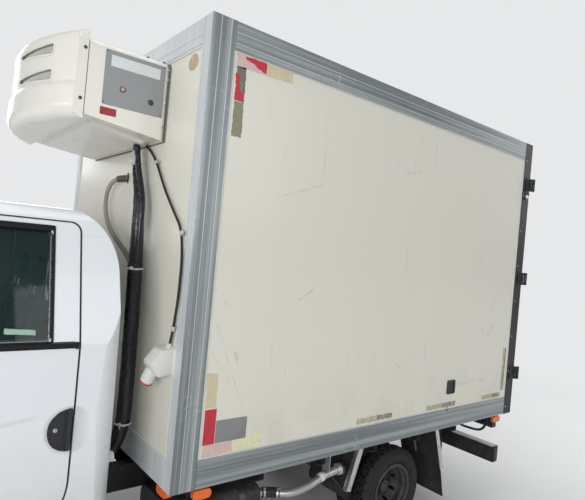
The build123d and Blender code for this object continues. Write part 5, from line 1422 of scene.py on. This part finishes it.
def seat_fabric():
    """Dark woven cloth with a ribbed middle."""
    f = Finish("seat_cloth")
    warp = (f.y * 2600.0).sine()
    weft = ((f.x + f.z) * 2600.0).sine()
    weave = warp * weft
    fleck = f.noise(420.0, 2.0)
    tone = f.mix(f.between(weave, -0.6, 0.6), (0.013, 0.014, 0.016), (0.030, 0.032, 0.036))
    tone = f.mix(f.between(fleck, 0.60, 0.72) * 0.6, tone, (0.070, 0.074, 0.082))
    tone = f.mix(f.patches(0.5, 0.8, 6.0, 4.0) * 0.3, tone, (0.055, 0.053, 0.050))
    return f.done(tone, 0.85, 0.0, f.bump(weave * 0.6 + fleck, 0.0008, 0.5), Sheen_Weight=0.25,
                  Sheen_Roughness=0.45)


seat_rows = ((0.420, 0.480), (-0.030, 0.360), (-0.460, 0.440))


def seats():
    cloth = seat_fabric()
    cushion_rows = [(0.500, 0.935, 0.020), (0.940, 0.935, 0.025), (0.965, 1.005, 0.035),
                    (0.930, 1.042, 0.035), (0.500, 1.000, 0.020)]
    back_rows = [(0.500, 0.925, 0.020), (0.582, 0.995, 0.030), (0.468, 1.540, 0.035), (0.410, 1.540, 0.035),
                 (0.455, 0.925, 0.020)]
    wide = seat_rows[0][1]
    turn = Matrix.Rotation(math.radians(90), 4, "X")
    pads = {}
    for kind, rows in (("cushion", cushion_rows), ("back", back_rows)):
        block = slab(rows, wide - 0.036, Matrix.Translation((box_front, (wide - 0.036) / 2, 0)) @ turn, 0.022,
                     both=True)
        pads[kind] = stuffed(block)
    side_seam = 0.30 * wide
    sewn(pads["cushion"], (0, 0, 1), [lambda p: abs(abs(p.y) - side_seam)]
         + [lambda p, u=u: abs(p.x - box_front - u) + (0.1 if abs(p.y) > side_seam else 0.0)
            for u in (0.64, 0.74, 0.84)])
    sewn(pads["back"], (1, 0, 0), [lambda p: abs(abs(p.y) - side_seam)]
         + [lambda p, z=z: abs(p.z - z) + (0.1 if abs(p.y) > side_seam else 0.0)
            for z in (1.13, 1.24, 1.35, 1.46)])
    head_rows = [(0.396, 1.556, 0.026), (0.452, 1.556, 0.026), (0.438, 1.722, 0.030), (0.380, 1.722, 0.026)]
    head = stuffed(slab(head_rows, 0.200, Matrix.Translation((box_front, 0.100, 0)) @ turn, 0.026, both=True),
                   swell=0.012)
    sewn(head, (1, 0, 0), [lambda p: abs(abs(p.z - 1.640) - 0.060)], 0.004)
    frames = Form()
    for index, (middle, width) in enumerate(seat_rows):
        shift = Matrix.Translation((0, middle, 0)) @ Matrix.Diagonal((1, width / wide, 1, 1))
        for kind, pad in pads.items():
            made = Form(placed(pad.copy(), shift))
            made = made.piece(f"seat_{kind}_{index}", "seat_fabric", cloth, crease=80)
            if index == 0 and kind == "cushion":
                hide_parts("seats")
        made = Form(placed(head.copy(), Matrix.Translation((0, middle, 0)))).piece(
            f"seat_headrest_{index}", "seat_fabric", cloth, crease=80)
        half = width / 2 - 0.030
        frames.add(rounded_box(at(0.490, middle - half, 0.7965), at(0.935, middle + half, 0.925), 0.012))
        for across in (-0.055, 0.055):
            stem = rod(at(0.432, middle + across, 1.505), at(0.424, middle + across, 1.575), 0.006, 16)
            frames.add(stem, 1)
    for part in (*pads.values(), head):
        part.free()
    frames.piece("seat_frames", "dark_trim", black_plastic, bright_metal)


# Wheels
def tread_profile(radius, width, bead, bead_half, grooves):
    """Tyre section with rounded shoulders, rim rings on its sides and grooves round the tread."""
    half = width / 2
    middle = (bead + radius) / 2
    side = [(bead + 0.0005, bead_half - 0.004), (bead + 0.014, bead_half - 0.003),
            (bead + 0.021, half - 0.022), (bead + 0.0235, half - 0.0155),
            (middle - 0.024, half - 0.0070), (middle - 0.020, half - 0.0030),
            (middle - 0.0185, half - 0.0048), (middle - 0.004, half - 0.0008),
            (middle + 0.010, half - 0.0008), (middle + 0.022, half - 0.0052),
            (middle + 0.0235, half - 0.0036), (radius - 0.030, half - 0.0086),
            (radius - 0.0285, half - 0.0110), (radius - 0.020, half - 0.0150),
            (radius - 0.011, half - 0.0225), (radius - 0.0055, half - 0.0310),
            (radius - 0.0020, half - 0.0400)]
    rows = [(r, -a) for r, a in side]
    for place in grooves:
        rows += [(radius - 0.0006, place - 0.0045), (radius - 0.0085, place - 0.0028),
                 (radius - 0.0085, place + 0.0028), (radius - 0.0006, place + 0.0045)]
    return rows + [(r, a) for r, a in reversed(side)]


def tyre(radius, width, bead, bead_half, grooves, steps):
    """A tyre on the local z axis, its tread cut into blocks."""
    part = turned(tread_profile(radius, width, bead, bead_half, grooves), (0, 0, 0), (0, 0, 1), steps)
    part.faces.ensure_lookup_table()
    chosen = []
    for face in part.faces:
        centre = face.calc_center_median()
        across = math.hypot(centre.x, centre.y)
        index = round((math.atan2(centre.y, centre.x) / math.tau) % 1.0 * steps - 0.5)
        shoulder = abs(centre.z) > abs(grooves[-1])
        if across > radius - 0.0050 and face.calc_area() > 4e-5 and index % 4 == (0 if shoulder else 2):
            chosen.append(face)
    made = bmesh.ops.extrude_discrete_faces(part, faces=chosen)
    for face in made["faces"]:
        for vert in face.verts:
            across = math.hypot(vert.co.x, vert.co.y)
            share = (across - 0.0055) / across
            vert.co.x *= share
            vert.co.y *= share
    bmesh.ops.recalc_face_normals(part, faces=part.faces)
    return part


def on_wheel(place, y, side=1):
    """Local z becomes the axle's outward direction at a wheel."""
    u, z = place
    return axes(at(u, side * y, z), (1, 0, 0), (0, 0, -side), (0, side, 0))


nut_radius, nut_height = 0.0125, 0.016


def wheel_nuts(place, y, reach, count, side, body, name, cap):
    nuts = Form()
    centre = at(place[0], side * y, place[1])
    for step in range(count):
        turn = math.tau * (step + 0.25) / count
        spot = centre + Vector((reach * math.cos(turn), 0, reach * math.sin(turn)))
        way = Vector((0, side, 0))
        nuts.add(rod(spot, spot + way * 0.004, nut_radius * 1.35, 20, 0.001))
        nuts.add(rod(spot + way * 0.004, spot + way * nut_height, nut_radius, 6, 0.0012))
        nuts.add(rod(spot + way * nut_height, spot + way * (nut_height + 0.008), nut_radius * 0.5, 14, 0.001))
    nuts.add(turned(cap, centre, (0, side, 0), 40), 1)
    nuts.piece(name, "zinc_gear", dark_metal, paint["wheel_steel"], body=body)


def valve(place, y, reach, side):
    """A valve stem, reach from the wheel's middle."""
    start, end = (at(place[0] + (reach - inwards) * 0.30, side * (y + out),
                     place[1] + (reach - inwards) * 0.954)
                  for inwards, out in ((0.0, 0.0), (0.018, 0.032)))
    part = rod(start, end, 0.0045, 12, 0.001)
    return together(part, rod(end, end + (end - start).normalized() * 0.008, 0.0058, 12, 0.001))


def wheels():
    front = tyre(front_radius, 0.195, 0.1905, 0.0665, (-0.037, -0.0125, 0.0125, 0.037), 144)
    rear = tyre(rear_radius, 0.145, 0.165, 0.0475, (-0.024, 0.0, 0.024), 128)
    for side, name in side_names.items():
        made = Form(placed(front.copy(), on_wheel(front_wheel, 0.7425, side)),
                    valve(front_wheel, 0.792, 0.172, side))
        made = made.piece(f"front_tyre_tread_{name}", "tyre_rubber", body=f"front_wheel_{name}", crease=32)
        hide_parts(f"front_tyre_{name}")
        pair = [placed(rear.copy(), on_wheel(rear_wheel, y, side)) for y in (0.5725, 0.7475)]
        made = Form(*pair, valve(rear_wheel, 0.765, 0.147, side))
        made = made.piece(f"rear_tyre_treads_{name}", "tyre_rubber", body=f"rear_wheels_{name}", crease=32)
        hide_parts(f"rear_tyres_{name}")
        cap = [(0, 0.0555), (0.022, 0.0545), (0.033, 0.050), (0.0385, 0.0425), (0.0385, 0.036), (0, 0.036)]
        wheel_nuts(front_wheel, 0.7785, 0.085, 5, side, f"front_wheel_{name}", f"front_nuts_{name}", cap)
        cap = [(0, 0.0665), (0.018, 0.0665), (0.022, 0.0625), (0.0405, 0.0625), (0.0405, 0.054), (0, 0.054)]
        wheel_nuts(rear_wheel, 0.668, 0.074, 6, side, f"rear_wheels_{name}", f"rear_nuts_{name}", cap)
    front.free()
    rear.free()


# Underbody
rail_face = 0.375                   # half width of the ladder frame
spring_middle = 0.345
guard_edge = 0.8475                 # half width over the mudguards' outer edges
u_bolt = 0.037                      # half width of an axle's U bolt


def flat_bar(start, end, wide, thick, face):
    """A flat bar from one place to another; face is the direction its broad side looks to."""
    start, end, face = Vector(start), Vector(end), Vector(face)
    run = end - start
    out = (face - run * (face.dot(run) / run.length_squared)).normalized()
    across = run.normalized().cross(out)
    bar = rounded_box((-wide / 2, 0, 0), (wide / 2, run.length, thick), 0.001)
    return placed(bar, axes(start, across, run.normalized(), out))


def axle_fixings():
    bolts = Form()
    for place, apart, low, high in ((front_wheel[0], 0.040, 0.262, 0.3905),
                                    (rear_wheel[0], 0.060, 0.222, 0.3855)):
        for side in (1, -1):
            y = side * spring_middle
            for u in (place - apart, place + apart):
                path = [at(u, y + across, z) for across, z in (
                    (-u_bolt, low), (-u_bolt, high - 0.004), (0.004 - u_bolt, high), (u_bolt - 0.004, high),
                    (u_bolt, high - 0.004), (u_bolt, low))]
                bolts.add(tube(path, 0.0065, 10, straight=True))
                for across in (-u_bolt, u_bolt):
                    bolts.add(hex_bolt(at(u, y + across, low + 0.008), (0, 0, -1), 0.011, 0.009))
            bolts.add(rounded_box(at(place - 0.075, y - 0.050, low + 0.006),
                                  at(place + 0.075, y + 0.050, low + 0.014), 0.002))
    bolts.piece("axle_fixings", "dark_casting")


def frame_bolts():
    bolts = Form()
    for u, side, ahead, z in product((-2.90, -2.34, -1.26, -0.63, -0.15, 1.86), (1, -1), (-0.022, 0.022),
                                     (0.545, 0.596)):
        bolts.add(hex_bolt(at(u + ahead, side * rail_face, z), (0, side, 0), 0.008, 0.007))
    bolts.piece("frame_bolts", "black_steel", dark_metal)


def mudguard_edges():
    """Aluminium angles along the sheets' outer edges."""
    strip = Form()
    for side in (1, -1):
        edge = side * guard_edge
        for high, low, way in ((at(-1.3765, edge, 0.712), at(-1.2725, edge, 0.406), 1),
                               (at(-2.1455, edge, 0.706), at(-2.2640, edge, 0.352), -1)):
            back = Vector((-0.016, 0, 0))
            strip.add(flat_bar(high + back, low + back, 0.036, 0.0025, (0, side, 0)))
            inwards = Vector((0.003 if way > 0 else -0.0045, -side * 0.016, 0))
            strip.add(flat_bar(high + inwards, low + inwards, 0.030, 0.0022, (way, 0, 0.3 * way)), 1)
            for step in range(5):
                spot = (high + back).lerp(low + back, (step + 0.5) / 5) + Vector((0, side * 0.0025, 0))
                strip.add(screw(spot, (0, side, 0), 0.0048, 0.0028), 1)
        fold = Vector((0.006, 0, 0))
        strip.add(flat_bar(at(-2.150, side * 0.655, 0.640) + fold, at(-2.205, side * 0.668, 0.440) + fold,
                           0.014, 0.003, (1, 0, 0.27)))
    strip.piece("mudguard_edges", "zinc_gear", paint["zinc_gear"], bright_metal)
    # a thin grey strip over the black underrun bar's top: painted highlight along its lit top edge
    edge_strip = rounded_box(at(-2.936, -0.915, 0.4465), at(-2.852, 0.915, 0.4485), 0.0008)
    Form(edge_strip).piece("underrun_edge", "zinc_gear",
                           worn_tape("painted_top_highlight", (0.33, 0.34, 0.33), 0.30, 0.2))
    stays = Form()
    for side in (1, -1):
        for ends in (((-1.270, 0.402), (-1.180, 0.520), (-1.120, 0.640)),
                     ((-2.285, 0.345), (-2.380, 0.500), (-2.430, 0.640))):
            path = [at(u, side * y, z) for (u, z), y in zip(ends, (0.820, 0.760, 0.70))]
            stays.add(tube(path, 0.006, 10, straight=True))
        bent = ((0.640, 0.640), (0.652, 0.572), (0.741, 0.566), (0.886, 0.580), (0.900, 0.640))
        stays.add(tube([at(-2.750, side * y, z) for y, z in bent], 0.0095, 12))
    stays.piece("guard_stays", "black_steel")


filler_route = [(-0.700, 0.705, 0.470), (-0.740, 0.705, 0.470), (-0.850, 0.800, 0.472),
                (-0.950, 0.840, 0.510), (-1.060, 0.852, 0.560)]


def filler_details():
    line = evenly(line_along(filler_route), 0.012)
    sleeve = [place for place in line if -0.812 < place.x - box_front < -0.705]
    Form(tube(sleeve, 0.0285, 22, straight=True)).piece("filler_sleeve", "black_rubber",
                                                       paint["black_rubber"])
    clamps, strap = Form(), Form()
    for goal, form, radius in ((-0.722, clamps, 0.0292), (-0.800, clamps, 0.0292), (-1.035, strap, 0.0252)):
        index = min(range(1, len(line) - 1), key=lambda k: abs(line[k].x - box_front - goal))
        way = (line[index + 1] - line[index - 1]).normalized()
        width = 0.013 if form is strap else 0.006
        form.add(band(line[index], way, radius - 0.001, radius + 0.0015, -width, width))
        lug = line[index] + Vector((0, 0.4, 0.9)).normalized() * (radius + 0.003)
        form.add(block(lug, (width, 0.006, 0.004), 0.0015))
    clamps.piece("filler_clamps", "zinc_gear")
    strap.piece("filler_strap", "socket_plastic")
    cap = Form()
    start, end = at(-1.176, 0.866, 0.5805), at(-1.1925, 0.8695, 0.5830)
    cap.add(rod(start, end, 0.0365, 12, 0.003))
    cap.piece("filler_cap", "dark_trim")
    straps = Form()
    for u in (-0.22, -0.54):
        rows = rectangle(0.4085, 0.2835, 0.7715, 0.5465, 0.056)
        straps.add(slab(rows, 0.036, on_front(u - 0.018), rim=0.003))
        straps.add(rod(at(u, 0.7735, 0.395), at(u, 0.7735, 0.455), 0.005, 12))
    straps.piece("tank_straps", "zinc_gear", dark_metal)


def marker_bezels():
    bezel = Form()
    for side, u in product((1, -1), (-0.185, -2.860)):
        rows = rectangle(u - 0.0515, 0.6505, u + 0.0515, 0.6995, 0.021)
        bezel.add(slab(rows, 0.010, on_side(box_side - 0.060, side), 0.002, rim=0.0035))
    bezel.piece("marker_bezels", "dark_trim")


# Rear
lamp_face = -3.000                  # the tail lamps' rear face, as u
bar_face = -2.940                   # the underrun bar's rear face, as u
bar_middle = 0.380


def leaf_details():
    for side, body in leaf_bodies.items():
        name = side_names[side]
        gasket = Form()
        for ahead in (0.004, 0.068):
            points = [Vector((rear_face + ahead, side * y, z))
                      for y, z, _ in rectangle(0.0095, 0.8105, 0.8885, 2.8295)]
            gasket.add(tube(points, bead, 8, closed=True, straight=True))
        gasket.piece(f"{name}_leaf_gasket", "black_rubber", body=body)
        bolts = Form()
        for step, y in product((0.330, 1.100, 1.870), (0.82, 0.74, 0.66, 0.59)):
            place = Vector((rear_face - 0.006, side * y, box_low + step))
            bolts.add(hex_bolt(place, (-1, 0, 0), 0.0085, 0.006))
        for z, y in product((box_low + 0.19, box_low + 0.62, box_high - 0.62, box_high - 0.19),
                            (0.226, 0.274)):
            bolts.add(screw(Vector((rear_face - 0.041, side * y, z)), (-1, 0, 0), 0.0050, 0.003))
        bolts.piece(f"{name}_leaf_bolts", "zinc_gear", body=body)
        grip = Form()
        x = rear_face - 0.024 - 0.009
        rows = rectangle(0.42, box_low + 0.7845, 0.578, box_low + 0.8155, 0.008)
        grip.add(slab(on_hand(rows, side), 0.0135, on_front(x - box_front - 0.0065), 0.004, both=True))
        grip.piece(f"{name}_lever_grip", "black_rubber", paint["black_rubber"], body=body)


def rear_lamp_details():
    frames, red, amber, clear = Form(), Form(), Form(), Form()
    for side in (1, -1):
        place = on_front(lamp_face, -1)
        frames.add(slab(on_hand(rectangle(0.6085, 0.5635, 0.8515, 0.6615, 0.010), side), 0.006, place, 0.002,
                        rim=0.006))
        for low, high, form in ((0.617, 0.690, clear), (0.693, 0.766, red), (0.769, 0.842, amber)):
            form.add(slab(on_hand(rectangle(low, 0.572, high, 0.653, 0.006), side), 0.0085, place, 0.004,
                          segments=3))
        reflector = at(bar_face, side * 0.845, bar_middle)
        red.add(turned([(0, 0), (0.036, 0), (0.036, 0.003), (0.032, 0.006), (0, 0.006)], reflector,
                       (-1, 0, 0), 36))
        frames.add(band(reflector, (-1, 0, 0), 0.035, 0.040, 0, 0.004, 36))
    frames.piece("tail_lamp_frames", "dark_trim")
    red.piece("tail_lenses_red", "red_lens")
    amber.piece("tail_lenses_amber", "amber_lens")
    clear.piece("tail_lenses_clear", "lamp_lens",
                clear_plastic("reverse_lens", (0.74, 0.75, 0.75), flutes=0.4))
    plate = Form(slab(rectangle(-0.26, 0.325, 0.26, 0.435, 0.010), 0.0022, on_front(bar_face - 0.0002, -1),
                      0.0008))
    plate.piece("bare_number_plate", "socket_plastic", plain("plate_enamel", (0.74, 0.74, 0.70), 0.4))
    screws = Form()
    for y in (-0.235, 0.235):
        screws.add(screw(at(bar_face - 0.0025, y, bar_middle), (-1, 0, 0), 0.0055, 0.0028))
    for y in (-0.9, -0.45, 0.45, 0.9):
        screws.add(hex_bolt(at(bar_face, y, 0.340), (-1, 0, 0), 0.008, 0.006))
    screws.piece("rear_bar_screws", "zinc_gear")


# Inside the box
fan_height = 2.700


def load_space_details():
    guards, blades = Form(), Form()
    for y in (-0.30, 0.0, 0.30):
        centre = at(-0.3965, y, fan_height)
        for radius in (0.022, 0.040, 0.058, 0.076, 0.094):
            hoop = [centre + Vector((0, *point)) for point in ring(0, 0, radius, count=40)]
            guards.add(tube(hoop, 0.0016, 6, closed=True, straight=True))
        for step in range(8):
            turn = math.tau * (step + 0.5) / 8
            way = Vector((0, math.cos(turn), math.sin(turn)))
            guards.add(tube([centre + way * 0.020, centre + way * 0.100], 0.0020, 6, straight=True))
        blades.add(rod(at(-0.372, y, fan_height), at(-0.345, y, fan_height), 0.026, 24, 0.003))
        for step in range(5):
            blade = rounded_box((-0.0012, 0.024, -0.028), (0.0012, 0.086, 0.028))
            turn = Matrix.Translation(at(-0.358, y, fan_height))
            turn = turn @ Matrix.Rotation(math.tau * step / 5, 4, "X")
            blades.add(placed(blade, turn @ Matrix.Rotation(math.radians(58), 4, "Y")))
    guards.piece("fan_guards", "zinc_gear")
    blades.piece("fan_blades", "dark_trim")
    floor = Form()
    for step in range(34):
        y = -0.858 + 0.052 * step
        floor.add(rounded_box(at(-2.880, y - 0.007, 0.8035), at(-0.080, y + 0.007, 0.8070), 0.001))
    floor.piece("floor_ribs", "edge_aluminium", bright_metal)
    trim = Form()
    for side in (1, -1):
        trim.add(slab(rectangle(-2.890, 0.806, -0.078, 1.046), 0.002, on_side(-0.896, -side), 0.0006))
    trim.piece("scuff_plates", "edge_aluminium", paint["zinc_gear"])
    lamp = Form(slab(rectangle(-1.62, -0.055, -1.28, 0.055, 0.020), 0.028, on_top(2.836, -1), 0.010,
                     segments=3))
    lamp.piece("ceiling_lamp", "lamp_lens", white_plastic)


# Stage and camera
def stage():
    """Floor, background and the soft lamps."""
    floor = bmesh.new()
    bmesh.ops.create_grid(floor, x_segments=1, y_segments=1, size=40.0)
    mesh = bpy.data.meshes.new("floor")
    floor.to_mesh(mesh)
    floor.free()
    mesh.materials.append(floor_finish())
    plane = bpy.data.objects.new("floor", mesh)
    plane.location.z = -0.002
    bpy.context.scene.collection.objects.link(plane)

    world = bpy.data.worlds.new("studio")
    bpy.context.scene.world = world
    w = Nodes(world)
    lit = w.node("ShaderNodeBackground", None, {0: (0.60, 0.63, 0.66), 1: 0.50})
    seen = w.node("ShaderNodeBackground", None, {0: background_tone})
    blend = w.node("ShaderNodeMixShader", None,
                   {0: w.ray_is("Is Camera Ray", "Is Transmission Ray"), 1: lit, 2: seen})
    w.node("ShaderNodeOutputWorld", None, {0: blend})

    # place, aim, width, height and power of each soft lamp
    lamps = [
        ("key", (6.6, 5.6, 2.6), (0.6, 0.6, 1.4), 4.0, 2.8, 325.0),
        ("front", (8.5, -1.5, 3.4), (0.5, 0.0, 1.4), 3.0, 2.4, 65.0),
        ("side", (-3.0, 8.5, 4.0), (-1.2, 0.9, 1.5), 5.0, 3.0, 90.0),
        ("top", (0.0, 0.0, 7.5), (0.0, 0.0, 1.0), 7.0, 5.0, 200.0),
        ("right", (0.5, -8.0, 4.5), (0.0, 0.0, 1.2), 4.5, 3.0, 170.0),
        ("rear", (-7.5, 0.5, 4.0), (-2.0, 0.0, 1.4), 4.0, 3.0, 170.0),
    ]
    for name, place, aim, width, height, power in lamps:
        light = bpy.data.lights.new(name, "AREA")
        light.shape = "RECTANGLE"
        light.size, light.size_y, light.energy = width, height, power
        lamp = bpy.data.objects.new(name, light)
        lamp.location = place
        lamp.rotation_euler = (Vector(aim) - Vector(place)).to_track_quat("-Z", "Y").to_euler()
        bpy.context.scene.collection.objects.link(lamp)


photo_width, focal = 585, 507.626       # in pixels


def camera():
    """Where the picture was taken from."""
    yaw, pitch, roll = (math.radians(turn) for turn in (231.242, 0.371, 5.1635))
    ahead = Vector((math.cos(pitch) * math.cos(yaw), math.cos(pitch) * math.sin(yaw), math.sin(pitch)))
    right = Vector((math.sin(yaw), -math.cos(yaw), 0.0))
    up = right.cross(ahead)
    right, up = (math.cos(roll) * right + math.sin(roll) * up, math.cos(roll) * up - math.sin(roll) * right)
    lens = bpy.data.cameras.new("camera")
    lens.sensor_width = 36.0
    lens.lens = focal / photo_width * lens.sensor_width
    lens.clip_end = 200.0
    eye = bpy.data.objects.new("camera", lens)
    matrix = Matrix((right, up, -ahead)).transposed().to_4x4()
    matrix.translation = at(1.0815, 3.027, 1.859)
    eye.matrix_world = matrix
    bpy.context.scene.collection.objects.link(eye)
    bpy.context.scene.camera = eye


for build in (box_seals, tape_marks, side_fittings, front_wall_marks, rear_post_fittings, unit_gaskets,
              unit_panels, unit_screws, slot_grilles, hose_bundle, drain_hose, power_cable, standby_socket,
              door_glass_rubbers, door_gap_seals, door_handles, cab_seams, front_details, mirrors,
              steering_wheel, cab_interior, seats, wheels, axle_fixings, frame_bolts, mudguard_edges,
              filler_details, marker_bezels, leaf_details, rear_lamp_details, load_space_details):
    build()

bpy.context.scene.view_settings.view_transform = "Standard"
camera()
stage()
